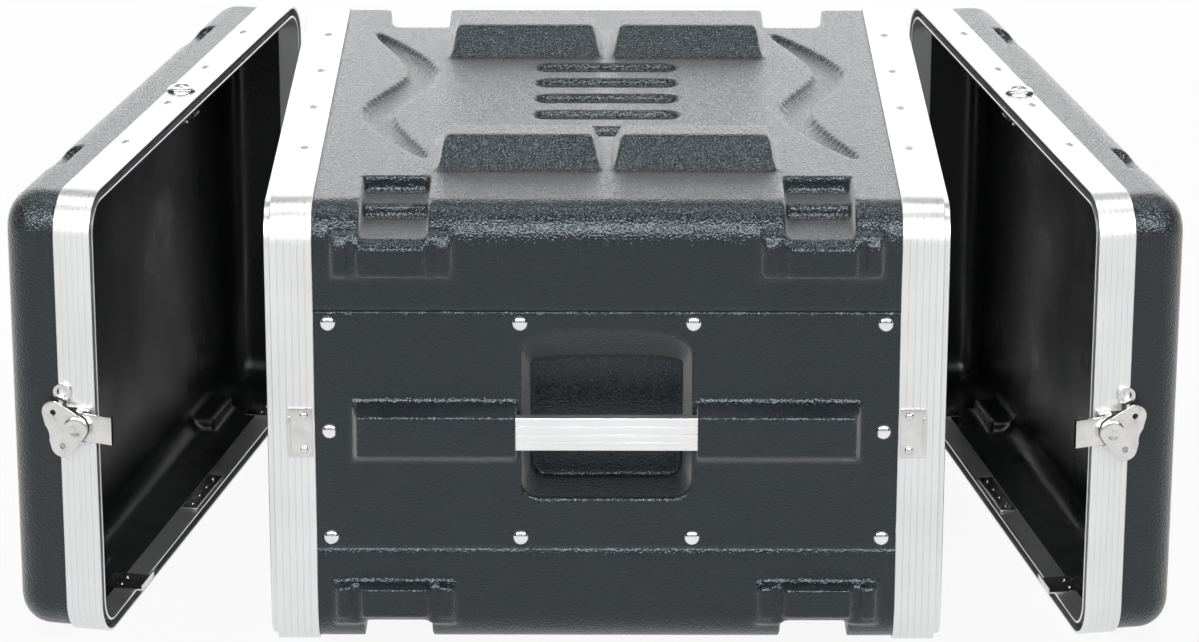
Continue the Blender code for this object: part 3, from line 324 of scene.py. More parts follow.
def tapered_box(base_low, base_high, face_low, face_high, axis):
    """A block whose rectangle at one end of the axis differs from the one at the other end."""
    bm = bmesh.new()
    bmesh.ops.create_cube(bm, size=1.0)
    for vert in bm.verts:
        low, high = (base_low, base_high) if vert.co[axis] < 0 else (face_low, face_high)
        vert.co = Vector([high[i] if vert.co[i] > 0 else low[i] for i in range(3)])
    return finish_mesh(bm, "tapered_box")


def cylinder(centre, radius, length, axis, sides=48):
    """A round bar centred on a point, along X, Y or Z."""
    turn = {"X": Matrix.Rotation(math.pi / 2, 4, "Y"),
            "Y": Matrix.Rotation(math.pi / 2, 4, "X"),
            "Z": Matrix.Identity(4)}[axis]
    bm = bmesh.new()
    bmesh.ops.create_cone(bm, cap_ends=True, segments=sides, radius1=radius, radius2=radius,
                          depth=length, matrix=Matrix.Translation(centre) @ turn)
    return finish_mesh(bm, "cylinder")


def rounded_prism(x_low, x_high, half_y, z_low, z_high, radius):
    """A bar along X with a rounded rectangular section."""
    bm = bmesh.new()
    bmesh.ops.create_cube(bm, size=1.0)
    bmesh.ops.scale(bm, vec=(x_high - x_low, 2 * half_y, z_high - z_low), verts=bm.verts)
    bmesh.ops.translate(bm, vec=((x_low + x_high) / 2, 0, (z_low + z_high) / 2), verts=bm.verts)
    edges = [edge for edge in bm.edges
             if abs(edge.verts[0].co.x - edge.verts[1].co.x) > (x_high - x_low) / 2]
    bmesh.ops.bevel(bm, geom=edges, offset=radius, segments=CORNER_STEPS, profile=0.5,
                    affect="EDGES")
    return bm


def domed_prism(x_back, x_open, half_y, z_low, z_high, radius, edge_radius):
    """A rounded prism whose end at x_back also has a rounded edge."""
    bm = rounded_prism(x_back, x_open, half_y, z_low, z_high, radius)
    rim = [edge for edge in bm.edges if all(abs(vert.co.x - x_back) < 1e-6 for vert in edge.verts)]
    bmesh.ops.bevel(bm, geom=rim, offset=edge_radius, segments=12, profile=0.5, affect="EDGES")
    return finish_mesh(bm, "domed_prism")


def extruded(outline, axis, start, end):
    """A flat outline, given in the two other axes in order, carried along an axis."""
    others = [i for i in range(3) if i != axis]
    bm = bmesh.new()
    ring = []
    for first, second in outline:
        point = [0.0, 0.0, 0.0]
        point[axis] = start
        point[others[0]] = first
        point[others[1]] = second
        ring.append(bm.verts.new(point))
    face = bm.faces.new(ring)
    grown = bmesh.ops.extrude_face_region(bm, geom=[face])
    moved = [item for item in grown["geom"] if isinstance(item, bmesh.types.BMVert)]
    shift = [0.0, 0.0, 0.0]
    shift[axis] = end - start
    bmesh.ops.translate(bm, vec=shift, verts=moved)
    return finish_mesh(bm, "extruded")


def loft(ring_a, ring_b):
    """A closed solid between two rings with the same number of points."""
    bm = bmesh.new()
    first = [bm.verts.new(point) for point in ring_a]
    second = [bm.verts.new(point) for point in ring_b]
    bm.faces.new(first)
    bm.faces.new(second)
    count = len(first)
    for i in range(count):
        j = (i + 1) % count
        bm.faces.new((first[i], first[j], second[j], second[i]))
    return finish_mesh(bm, "loft")


def arc(centre, radius, start_deg, end_deg, steps):
    """Points on an arc, both ends included."""
    points = []
    for i in range(steps + 1):
        angle = math.radians(start_deg + (end_deg - start_deg) * i / steps)
        points.append((centre[0] + radius * math.cos(angle), centre[1] + radius * math.sin(angle)))
    return points


def convex_hull(points):
    """The points of a flat set that lie on its convex outline, anticlockwise."""
    points = sorted(set(points))

    def half(ordered):
        chain = []
        for point in ordered:
            while len(chain) > 1:
                (ax, ay), (bx, by) = chain[-2], chain[-1]
                if (bx - ax) * (point[1] - ay) - (by - ay) * (point[0] - ax) > 1e-12:
                    break
                chain.pop()
            chain.append(point)
        return chain[:-1]

    return half(points) + half(points[::-1])


def evaluated(obj):
    """The object's mesh with its modifiers applied; the object is used up."""
    graph = bpy.context.evaluated_depsgraph_get()
    mesh = bpy.data.meshes.new_from_object(obj.evaluated_get(graph))
    bpy.data.objects.remove(obj, do_unlink=True)
    return mesh


def as_object(mesh, name="work"):
    obj = bpy.data.objects.new(name, mesh)
    bpy.context.scene.collection.objects.link(obj)
    return obj


def welded(mesh, distance, name):
    """The mesh with its doubled points merged and its faces pointing out."""
    bm = bmesh.new()
    bm.from_mesh(mesh)
    bmesh.ops.remove_doubles(bm, verts=bm.verts, dist=distance)
    return finish_mesh(bm, name)


def smoothed(mesh, angle_deg=180):
    """The mesh shaded smooth, with edges sharper than an angle left crisp."""
    mesh.shade_smooth()
    if angle_deg < 180:
        mesh.set_sharp_from_angle(angle=math.radians(angle_deg))
    return mesh


def boolean(target, tool, operation):
    """The Boolean of two meshes as a new mesh; both inputs are used up."""
    first, second = as_object(target), as_object(tool)
    step = first.modifiers.new("boolean", "BOOLEAN")
    step.operation = operation
    step.solver = "EXACT"
    step.object = second
    result = evaluated(first)
    bpy.data.objects.remove(second, do_unlink=True)
    return result


def union(target, *tools):
    for tool in tools:
        target = boolean(target, tool, "UNION")
    return target


def subtract(target, *tools):
    for tool in tools:
        target = boolean(target, tool, "DIFFERENCE")
    return target


def joined(*meshes):
    """Several meshes that lie apart, as one mesh to be used as a cutter."""
    bm = bmesh.new()
    for mesh in meshes:
        bm.from_mesh(mesh)
    return finish_mesh(bm, "joined")


def reflected(mesh, side_x, side_y):
    """A copy on the other side of x = 0, y = 0 or both, with its faces still pointing out."""
    copy = mesh.copy()
    copy.transform(Matrix.Diagonal((side_x, side_y, 1, 1)))
    if side_x * side_y < 0:
        copy.flip_normals()
    return copy


def quarters(mesh):
    """The mesh of the front, near quarter at its four reflected places."""
    return [reflected(mesh, sx, sy) for sx in (1, -1) for sy in (1, -1)]


def at_all_corners(mesh):
    return joined(*quarters(mesh))


def moulded(mesh, voxel, rounds, keep=0.42):
    """Every edge and inner corner rounded off, as plastic sheet leaves its mould."""
    obj = as_object(mesh)
    skin = obj.modifiers.new("skin", "REMESH")
    skin.mode = "VOXEL"
    skin.voxel_size = voxel
    soften = obj.modifiers.new("soften", "SMOOTH")
    soften.factor = 0.5
    soften.iterations = rounds
    thin = obj.modifiers.new("thin", "DECIMATE")
    thin.ratio = keep
    return smoothed(evaluated(obj))


def machined(mesh, edge, segments=2, angle_deg=32):
    """A metal piece with its sharp edges broken."""
    bm = bmesh.new()
    bm.from_mesh(mesh)
    bmesh.ops.remove_doubles(bm, verts=bm.verts, dist=2e-6)
    bmesh.ops.dissolve_limit(bm, angle_limit=math.radians(0.5), verts=bm.verts, edges=bm.edges)
    obj = as_object(finish_mesh(bm, "machined"))
    broken = obj.modifiers.new("broken", "BEVEL")
    broken.width = edge
    broken.segments = segments
    broken.limit_method = "ANGLE"
    broken.angle_limit = math.radians(angle_deg)
    broken.harden_normals = False
    return smoothed(evaluated(obj), angle_deg)


def turned(profile, steps):
    """A profile of (radius, height) points turned about Z."""
    bm = bmesh.new()
    verts = [bm.verts.new((radius, 0, height)) for radius, height in profile]
    for first, second in zip(verts, verts[1:]):
        bm.edges.new((first, second))
    mesh = bpy.data.meshes.new("profile")
    bm.to_mesh(mesh)
    bm.free()
    obj = as_object(mesh)
    screw = obj.modifiers.new("turn", "SCREW")
    screw.axis = "Z"
    screw.steps = screw.render_steps = steps
    screw.use_merge_vertices = True
    screw.merge_threshold = WELD
    return smoothed(welded(evaluated(obj), WELD, "turned"), 40)


def repeater():
    """A node tree that puts one piece at every point, its +Z along the point's facing."""
    tree = bpy.data.node_groups.new("piece_on_points", "GeometryNodeTree")
    for name, kind in (("Points", "Geometry"), ("Piece", "Object"), ("Size", "Float"),
                       ("Finish", "Material")):
        tree.interface.new_socket(name, in_out="INPUT", socket_type=f"NodeSocket{kind}")
    tree.interface.new_socket("Pieces", in_out="OUTPUT", socket_type="NodeSocketGeometry")
    start, end, info, facing, align, place, real, finish = [tree.nodes.new(kind) for kind in (
        "NodeGroupInput", "NodeGroupOutput", "GeometryNodeObjectInfo",
        "GeometryNodeInputNamedAttribute", "FunctionNodeAlignRotationToVector",
        "GeometryNodeInstanceOnPoints", "GeometryNodeRealizeInstances",
        "GeometryNodeSetMaterial")]
    facing.data_type = "FLOAT_VECTOR"
    facing.inputs["Name"].default_value = "facing"
    align.axis = "Z"
    for source, output, target, socket in (
            (start, "Points", place, "Points"), (start, "Piece", info, "Object"),
            (info, "Geometry", place, "Instance"), (facing, "Attribute", align, "Vector"),
            (align, "Rotation", place, "Rotation"), (start, "Size", place, "Scale"),
            (place, "Instances", real, "Geometry"), (real, "Geometry", finish, "Geometry"),
            (start, "Finish", finish, "Material"), (finish, "Geometry", end, "Pieces")):
        tree.links.new(source.outputs[output], target.inputs[socket])
    return tree


def repeated(places, mesh, finish, size=1.0):
    """The mesh at each of some (point, facing) places, as one mesh."""
    tree = bpy.data.node_groups.get("piece_on_points") or repeater()
    bm = bmesh.new()
    facing = bm.verts.layers.float_vector.new("facing")
    for point, direction in places:
        bm.verts.new(point)[facing] = Vector(direction)
    points = bpy.data.meshes.new("points")
    bm.to_mesh(points)
    bm.free()
    obj, single = as_object(points, "points"), as_object(mesh, "single")
    step = obj.modifiers.new("repeat", "NODES")
    step.node_group = tree
    values = {"Piece": single, "Size": size, "Finish": finish}
    for item in tree.interface.items_tree:
        if item.in_out == "INPUT" and item.name in values:
            step[item.identifier] = values[item.name]
    made = evaluated(obj)
    bpy.data.objects.remove(single, do_unlink=True)
    return made


def piece(name, mesh, body, finishes, replaces=()):
    """A visible piece in its place, riding a body and standing for some solids."""
    mesh.name = name
    mesh.materials.clear()
    for finish in finishes:
        mesh.materials.append(finish)
    obj = as_object(mesh, name)
    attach(obj, body)
    if replaces:
        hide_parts(*replaces)
    return obj


# ---- valances ----------------------------------------------------------------------------------
def rounded_rectangle(half_width, half_height, radius):
    points = []
    corners = ((1, 1, 0), (-1, 1, 90), (-1, -1, 180), (1, -1, 270))
    for side_a, side_b, start in corners:
        centre = (side_a * (half_width - radius), side_b * (half_height - radius))
        points += arc(centre, radius, start, start + 90, CORNER_STEPS)
    return points


def poly_curve(name, points, dimensions):
    curve = bpy.data.curves.new(name, "CURVE")
    curve.dimensions = dimensions
    spline = curve.splines.new("POLY")
    spline.points.add(len(points) - 1)
    for place, (first, second) in zip(spline.points, points):
        place.co = (first, second, 0, 1)
    spline.use_cyclic_u = True
    return curve


def valance_ring(profile):
    """A closed ring: profile points are (distance from the rim, depth under the outer face)."""
    section = as_object(poly_curve("section", profile, "2D"))
    section.data.fill_mode = "NONE"
    path = poly_curve("path", rounded_rectangle(HALF_W, HEIGHT / 2, CORNER_RADIUS), "3D")
    path.twist_mode = "Z_UP"
    path.bevel_mode = "OBJECT"
    path.bevel_object = section
    ring = evaluated(as_object(path))
    bpy.data.objects.remove(section, do_unlink=True)
    return welded(ring, WELD, "valance")


def stand_ring(mesh, rim_x):
    """Turn a ring made in the XY plane to stand in YZ, its profile running towards +X."""
    turn = Matrix(((0, 0, 1, 0), (1, 0, 0, 0), (0, 1, 0, 0), (0, 0, 0, 1)))
    mesh.transform(Matrix.Translation((rim_x, 0, MID_Z)) @ turn)
    return mesh


def ring_profile(points):
    """Profile points as the sweep takes them: across the path, then along the case."""
    return [(-depth, along) for along, depth in points]


def ribbed(start, end, count, groove, depth, level):
    """Profile points from start to end along the case, with fine grooves let into the face."""
    step = (end - start) / (count + 1)
    side = math.copysign(groove / 2, step)
    points = [(start, level)]
    for i in range(1, count + 1):
        middle = start + i * step
        points += [(middle - side, level), (middle - side / 2, level + depth),
                   (middle + side / 2, level + depth), (middle + side, level)]
    return points + [(end, level)]


def body_valance():
    tongue = (VALANCE_SHEET + INNER_FACE) / 2
    half = TONGUE_THICKNESS / 2
    points = [(0, EDGE), *ribbed(EDGE, BODY_LEG - EDGE, RIB_COUNT, RIB_WIDTH, RIB_DEPTH, 0),
              (BODY_LEG, EDGE), (BODY_LEG, VALANCE_SHEET),
              (BODY_WEB, VALANCE_SHEET), (BODY_WEB, INNER_FACE), (INNER_LEG, INNER_FACE),
              (INNER_LEG, INNER_BACK), (EDGE, INNER_BACK), (0, INNER_BACK - EDGE),
              (0, tongue + half), (-TONGUE_LENGTH + EDGE, tongue + half),
              (-TONGUE_LENGTH, tongue), (-TONGUE_LENGTH + EDGE, tongue - half),
              (0, tongue - half)]
    return stand_ring(valance_ring(ring_profile(points)), -RIM)


def lid_valance():
    web = GROOVE_DEPTH + GROOVE_WEB
    points = [(0, EDGE), (0, VALANCE_SHEET - EDGE), (-EDGE, VALANCE_SHEET),
              (-GROOVE_DEPTH, VALANCE_SHEET), (-GROOVE_DEPTH, INNER_FACE),
              (-EDGE, INNER_FACE), (0, INNER_FACE + EDGE), (0, INNER_BACK - EDGE),
              (-EDGE, INNER_BACK), (-INNER_LEG, INNER_BACK),
              (-INNER_LEG, INNER_FACE), (-web, INNER_FACE), (-web, VALANCE_SHEET),
              (-LID_LEG, VALANCE_SHEET), (-LID_LEG, EDGE),
              *ribbed(-LID_LEG + EDGE, -EDGE, RIB_COUNT, RIB_WIDTH, RIB_DEPTH, 0)]
    ring = stand_ring(valance_ring(ring_profile(points)), -LID_RIM)
    return subtract(ring, lock_hole())


def lid_seal():
    """The soft cord that lies on the floor of the lid valance's groove."""
    low, high = VALANCE_SHEET + GAP, INNER_FACE - GAP
    middle = (low + high) / 2
    points = [(-GROOVE_DEPTH + GAP, low), (-GROOVE_DEPTH + SEAL_EDGE, low),
              (-GROOVE_DEPTH + SEAL_HEIGHT, middle), (-GROOVE_DEPTH + SEAL_EDGE, high),
              (-GROOVE_DEPTH + GAP, high)]
    return stand_ring(valance_ring(ring_profile(points)), -LID_RIM)


# ---- moulded shells ----------------------------------------------------------------------------
def notch_cutter(grow):
    """A two-step notch over the top edge; grow moves its walls out to leave a wall inside."""
    reach_up, reach_low = NOTCH_REACH
    depth_up, depth_low = NOTCH_DEPTH
    top = SHELL_TOP + OVER
    outline = [(-SHELL_Y - OVER, top),
               (-SHELL_Y + reach_up + grow, top),
               (-SHELL_Y + reach_up + grow, SHELL_TOP - depth_up - grow),
               (-SHELL_Y + reach_low + grow, SHELL_TOP - depth_up - grow),
               (-SHELL_Y + reach_low + grow, SHELL_TOP - depth_low - grow),
               (-SHELL_Y - OVER, SHELL_TOP - depth_low - grow)]
    half = NOTCH_WIDTH / 2 + grow
    return extruded(outline, 0, -NOTCH_X - half, -NOTCH_X + half)


def pad(grow, bottom, height):
    """A stacking pad; grow moves its sloping sides out, and bottom sinks its base."""
    slope_x = (PAD_TOP_X[0] - PAD_X[0], PAD_X[1] - PAD_TOP_X[1])
    slope_y = (PAD_TOP_Y[0] - PAD_Y[0], PAD_Y[1] - PAD_TOP_Y[1])
    drop = bottom / PAD_HEIGHT
    rise = (height - PAD_HEIGHT) / PAD_HEIGHT
    base_low = (-PAD_X[1] - grow - drop * slope_x[1], -PAD_Y[1] - grow - drop * slope_y[1],
                SHELL_TOP - bottom)
    base_high = (-PAD_X[0] + grow + drop * slope_x[0], -PAD_Y[0] + grow + drop * slope_y[0],
                 SHELL_TOP - bottom)
    face_low = (-PAD_TOP_X[1] - grow + rise * slope_x[1], -PAD_TOP_Y[1] - grow + rise * slope_y[1],
                SHELL_TOP + height)
    face_high = (-PAD_TOP_X[0] + grow - rise * slope_x[0],
                 -PAD_TOP_Y[0] + grow - rise * slope_y[0], SHELL_TOP + height)
    return tapered_box(base_low, base_high, face_low, face_high, 2)


def bumper():
    """The moulded foot on the near side: a low base, a tall middle lump and two end lumps."""
    centre = -BUMPER_X
    level = BUMPER_LEVEL
    half = BUMPER_LENGTH / 2
    tall = BUMPER_HEIGHT / 2

    def lump(low, high, bottom, top, proud, slope):
        return tapered_box((low + slope, -SHELL_Y - proud, bottom + slope / 2),
                           (high - slope, -SHELL_Y - proud, top - slope),
                           (low, -SHELL_Y + SINK, bottom), (high, -SHELL_Y + SINK, top), 1)

    slope_base, slope_middle, slope_end = BUMPER_SLOPES
    base = lump(centre - half, centre + half, level - tall, level + tall, BUMPER_BASE, slope_base)
    reach = LUMP_REACH * BUMPER_LENGTH
    (middle_low, middle_high), (end_low, end_high) = LUMP_INSETS
    middle = lump(centre - reach, centre + reach, level - tall + middle_low,
                  level + tall - middle_high, BUMPER_LUMP, slope_middle)
    ends = []
    for side in (-1, 1):
        span = sorted(centre + side * share * BUMPER_LENGTH for share in END_LUMP_SPAN)
        ends.append(lump(*span, level - tall + end_low, level + tall - end_high,
                         BUMPER_SIDE_LUMP, slope_end))
    return union(base, middle, *ends)


def catmull_rom(points, steps):
    """A smooth run of points through a few chosen ones."""
    padded = [points[0], *points, points[-1]]
    run = []
    for i in range(len(points) - 1):
        p0, p1, p2, p3 = [Vector(point) for point in padded[i:i + 4]]
        for k in range(steps):
            t = k / steps
            run.append(0.5 * (2 * p1 + (p2 - p0) * t + (2 * p0 - 5 * p1 + 4 * p2 - p3) * t * t
                              + (3 * p1 - p0 - 3 * p2 + p3) * t ** 3))
    run.append(Vector(points[-1]))
    return run


def wave_cutter(centre_x, grow, depth):
    """The S-shaped ribbon pressed into the top: a spine with a width that fades at its tips."""
    spine = catmull_rom(WAVE_SPINE, 16)
    left, right = [], []
    last = len(spine) - 1
    for i in range(1, last):
        along = (spine[i + 1] - spine[i - 1]).normalized()
        across = Vector((-along.y, along.x))
        half = grow + WAVE_WIDTH / 2 * math.sin(math.pi * i / last) ** WAVE_FADE
        left.append(spine[i] + across * half)
        right.append(spine[i] - across * half)
    tip = (spine[0] - spine[1]).normalized() * grow
    tail = (spine[last] - spine[last - 1]).normalized() * grow
    outline = [spine[0] + tip, *left, spine[last] + tail, *reversed(right)]
    placed = [(centre_x + point.x, WAVE_Y + point.y) for point in outline]
    return extruded(placed, 2, SHELL_TOP - depth, SHELL_TOP + OVER)


def flute_cutter(number, grow, depth):
    """One straight groove with round ends, running along X."""
    y = FLUTE_CENTRE_Y + (number - (FLUTE_COUNT - 1) / 2) * FLUTE_PITCH
    radius = FLUTE_WIDTH / 2 + grow
    reach = (FLUTE_LENGTH - FLUTE_WIDTH) / 2
    outline = arc((reach, y), radius, -90, 90, 16) + arc((-reach, y), radius, 90, 270, 16)
    return extruded(outline, 2, SHELL_TOP - depth, SHELL_TOP + OVER)


def relief_cutters(grow):
    """The grooves of the moulded top, or the same made larger by a wall."""
    depth = RELIEF_DEPTH + grow
    flutes = [flute_cutter(number, grow, depth) for number in range(FLUTE_COUNT)]
    return flutes + [wave_cutter(side * WAVE_X, grow, depth) for side in (-1, 1)]


def body_block():
    return finish_mesh(rounded_prism(-SHELL_END, SHELL_END, SHELL_Y, 0, SHELL_TOP, SHELL_RADIUS),
                       "block")


def body_cavity():
    return finish_mesh(rounded_prism(-SHELL_END - OVER, SHELL_END + OVER, CAVITY_Y, WALL,
                                     SHELL_TOP - WALL, SHELL_RADIUS - WALL), "cavity")


def side_rivet_places():
    """(x, height from the middle) of the ten rivets of one side panel."""
    places = [(side * RIVET_OUTER_X, level) for side in (-1, 1) for level in (-RIVET_Z, 0, RIVET_Z)]
    places += [(side * RIVET_INNER_X, level) for side in (-1, 1) for level in (-RIVET_Z, RIVET_Z)]
    return sorted(places, key=lambda place: (-place[1], place[0]))


def both_sides(mesh):
    """A near cutter and its reflection at the far side, as one cutter."""
    return joined(reflected(mesh, 1, 1), reflected(mesh, 1, -1))


def half_shell():
    """The top half of the body before its own relief: the bottom half is its upside-down twin."""
    shell = union(body_block(), *quarters(bumper()))
    below = box((-RIM, -HALF_W - OVER, -OVER), (RIM, HALF_W + OVER, PANEL_TOP - SKIRT))
    rebate = box((-RIM, -HALF_W - OVER, PANEL_TOP - SKIRT - OVER),
                 (RIM, -SKIRT_Y, PANEL_TOP + GAP))
    return subtract(shell, below, both_sides(rebate), at_all_corners(notch_cutter(0)))


def upside_down(mesh):
    """The same shape turned over about the line through the middle of the case along X."""
    mesh.transform(Matrix.Translation((0, 0, SHELL_TOP)) @ Matrix.Rotation(math.pi, 4, "X"))
    return mesh


def top_shell():
    shell = union(half_shell(), *quarters(pad(0, SINK, PAD_HEIGHT)))
    cup_way = box((-GRIP_RELIEF, -SHELL_Y, PANEL_TOP - SKIRT - OVER),
                  (GRIP_RELIEF, -CAVITY_Y + OVER, MID_Z + GRIP_TOP + GRIP_WALL + 2 * GAP))
    shell = subtract(shell, *relief_cutters(0), both_sides(cup_way))
    hollow = union(subtract(body_cavity(), at_all_corners(notch_cutter(WALL))),
                   at_all_corners(pad(-PAD_WALL, 2 * WALL, PAD_HEIGHT - WALL)))
    return subtract(shell, subtract(hollow, *relief_cutters(RELIEF_WALL)))


def bottom_shell():
    """Turned over, so its nesting pockets are cut where the top half has pads."""
    depth = PAD_HEIGHT + NEST_CLEARANCE

    def pocket(grow, extra):
        mesh = pad(NEST_CLEARANCE + grow, OVER, PAD_HEIGHT)
        mesh.transform(Matrix.Diagonal((1, 1, -1, 1)))
        mesh.transform(Matrix.Translation((0, 0, 2 * SHELL_TOP - (depth - PAD_HEIGHT) - extra)))
        mesh.flip_normals()
        return mesh

    hollow = subtract(body_cavity(), at_all_corners(notch_cutter(WALL)),
                      *quarters(pocket(WALL, WALL)))
    shell = subtract(half_shell(), at_all_corners(pocket(0, 0)), hollow)
    return upside_down(shell)


# ---- side panels and handles -------------------------------------------------------------------
def grip_outline(half, bottom, shoulder, top, grow):
    """The grip's outline in (x, z): round lower corners, straight sides, arched head."""
    radius = GRIP_CORNER
    half, bottom, rise = half + grow, bottom - grow, top - shoulder
    points = arc((-half + radius, bottom + radius), radius, 180, 270, 8)
    points += arc((half - radius, bottom + radius), radius, 270, 360, 8)
    steps = 36
    for i in range(steps + 1):
        angle = math.pi * i / steps
        spread = math.copysign(abs(math.cos(angle)) ** GRIP_ARCH[0], math.cos(angle))
        points.append((half * spread, shoulder + (rise + grow) * math.sin(angle) ** GRIP_ARCH[1]))
    return points


def grip_loft(front_y, floor_y, grow):
    """The grip's tapering hollow between two depths, made grow larger all round."""
    front = grip_outline(GRIP_HALF, GRIP_BOTTOM, GRIP_SHOULDER, GRIP_TOP, grow)
    floor = grip_outline(FLOOR_HALF, FLOOR_BOTTOM, FLOOR_SHOULDER, FLOOR_TOP, grow)
    return loft([(x, front_y, MID_Z + z) for x, z in front],
                [(x, floor_y, MID_Z + z) for x, z in floor])


def housing(side):
    """The raised black block that carries one end of the handle bar."""
    inner, outer = HOUSING_X
    slope = HOUSING_BASE - HOUSING_FACE
    face_y = -SHELL_Y - HOUSING_PROUD
    base_y = -SHELL_Y + PANEL_THICKNESS / 2
    low, high = sorted((side * inner, side * outer))
    face_low = low + (slope / 2 if side < 0 else 0)
    face_high = high - (slope / 2 if side > 0 else 0)
    return tapered_box((face_low, face_y, MID_Z - HOUSING_FACE),
                       (face_high, face_y, MID_Z + HOUSING_FACE),
                       (low, base_y, MID_Z - HOUSING_BASE),
                       (high, base_y, MID_Z + HOUSING_BASE), 1)


def side_panel():
    edge = SHELL_END
    panel = box((-edge, -SHELL_Y, PANEL_BOTTOM), (edge, -PANEL_Y, PANEL_TOP))
    cup = grip_loft(-SHELL_Y + PANEL_THICKNESS / 2, -SHELL_Y + GRIP_DEPTH + GRIP_WALL, GRIP_WALL)
    panel = union(panel, cup, housing(-1), housing(1))
    return subtract(panel, grip_loft(-SHELL_Y - GRIP_START, -SHELL_Y + GRIP_DEPTH, 0))


def handle_bar():
    """A drawn aluminium flat with shallow channels in its face, its ends in the housings."""
    reach = HOUSING_X[0] + SINK
    level = MID_Z + BAR_RISE
    half = BAR_HEIGHT / 2
    outline = [(-BAR_FRONT + BAR_THICKNESS, level + half), (-BAR_FRONT + EDGE, level + half)]
    channels = BAR_GROOVES + 1
    for i in range(channels):
        top = level + half - EDGE - i * (BAR_HEIGHT - 2 * EDGE) / channels
        low = top - (BAR_HEIGHT - 2 * EDGE) / channels
        outline += [(-BAR_FRONT, top), (-BAR_FRONT, low + BAR_GROOVE),
                    (-BAR_FRONT + BAR_GROOVE, low + BAR_GROOVE * 0.75),
                    (-BAR_FRONT + BAR_GROOVE, low + BAR_GROOVE * 0.25)]
    del outline[-2:]
    outline[-1] = (-BAR_FRONT, level - half + EDGE)
    outline += [(-BAR_FRONT + EDGE, level - half), (-BAR_FRONT + BAR_THICKNESS, level - half)]
    return extruded(outline, 0, -reach, reach)


# ---- rack rails and strikes --------------------------------------------------------------------
def rack_rail():
    """An angle for the front, near corner, drilled to the rack pattern."""
    face = box((-RACK_FACE, -CAVITY_Y + GAP, MID_Z - RACK_HALF),
               (-RACK_FACE + RAIL_SHEET, -RACK_CLEAR / 2, MID_Z + RACK_HALF))
    flange = box((-RACK_FACE, -CAVITY_Y + GAP, MID_Z - RACK_HALF),
                 (-RACK_FACE + RAIL_FLANGE, -CAVITY_Y + GAP + RAIL_SHEET, MID_Z + RACK_HALF))
    rail = union(face, flange)
    holes = []
    for unit in range(RACK_UNITS):
        for offset in RACK_HOLE_LEVELS:
            level = MID_Z - RACK_HALF + unit * RACK_UNIT + offset
            holes.append(cylinder((-RACK_FACE, -RACK_HOLES / 2, level), RACK_HOLE, OVER, "X", 20))
    return subtract(rail, joined(*holes))


def strike():
    """The keeper plate on the body valance, with its raised lip."""
    start, end = STRIKE_X
    lip_width, lip_half, lip_top = STRIKE_LIP
    low_y = -HALF_W - GAP
    plate = box((-RIM + start, low_y - STRIKE_SHEET, MID_Z - STRIKE_HALF),
                (-RIM + end, low_y, MID_Z + STRIKE_HALF))
    lip = box((-RIM + start, -HALF_W - lip_top, MID_Z - lip_half),
              (-RIM + start + lip_width, low_y - STRIKE_SHEET / 2, MID_Z + lip_half))
    return union(plate, lip)


def strike_rivets():
    """(point, facing) of the two rivets of one strike."""
    from_edge, off_centre = STRIKE_RIVET[:2]
    x = -RIM + STRIKE_X[1] - from_edge
    y = -HALF_W - GAP - STRIKE_SHEET
    return [((x, y, MID_Z + side * off_centre), (0, -1, 0)) for side in (-1, 1)]


# ---- lids --------------------------------------------------------------------------------------
def lid_notch(side, grow):
    """A notch over the lid's outer edge, at the top or turned to the bottom."""
    reach, width, depth = LID_NOTCH
    half = width / 2 + grow
    level = MID_Z + side * (SHELL_TOP / 2 - depth - grow)
    low, high = sorted((level, MID_Z + side * (SHELL_TOP / 2 + OVER)))
    return box((-LID_BACK - OVER, -LID_FOOT_Y - half, low),
               (-LID_BACK + reach + grow, -LID_FOOT_Y + half, high))


def lid_foot(side):
    length, height, proud = LID_FOOT
    level = MID_Z + side * LID_FOOT_Z
    edge = LID_FOOT_DRAFT
    return tapered_box((-LID_BACK - proud, -LID_FOOT_Y - length / 2 + edge,
                        level - height / 2 + edge),
                       (-LID_BACK - proud, -LID_FOOT_Y + length / 2 - edge,
                        level + height / 2 - edge),
                       (-LID_BACK + SINK, -LID_FOOT_Y - length / 2, level - height / 2),
                       (-LID_BACK + SINK, -LID_FOOT_Y + length / 2, level + height / 2), 0)


def lid_shell():
    shell = domed_prism(-LID_BACK, -LID_SHELL_START, SHELL_Y, 0, SHELL_TOP, SHELL_RADIUS, LID_EDGE)
    for side in (-1, 1):
        foot = lid_foot(side)
        shell = union(shell, reflected(foot, 1, 1), reflected(foot, 1, -1))
    hollow = domed_prism(-LID_BACK + WALL, -RIM, SHELL_Y - WALL, WALL, SHELL_TOP - WALL,
                         SHELL_RADIUS - WALL, LID_EDGE - WALL)
    for side in (-1, 1):
        shell = subtract(shell, both_sides(lid_notch(side, 0)))
        hollow = subtract(hollow, both_sides(lid_notch(side, WALL)))
    return subtract(shell, hollow, lock_hole())


def lid_hook():
    """The bracket on the lid's bottom leg whose curled tongue reaches into the case."""
    width, length, sheet = LID_HOOK
    level = VALANCE_BOTTOM + INNER_BACK + GAP
    start = -LID_RIM - length
    tip = -LID_RIM + LID_HOOK_REACH
    plate = box((start, -LID_HOOK_Y - width / 2, level),
                (tip, -LID_HOOK_Y + width / 2, level + sheet))
    curl = box((tip - sheet, -LID_HOOK_Y - width / 2, level + sheet / 2),
               (tip, -LID_HOOK_Y + width / 2, level + LID_HOOK_CURL))
    return union(plate, curl)


def from_lid_rim(distance):
    """x of a place on the front lid, measured back from its rim."""
    return -LID_RIM - distance


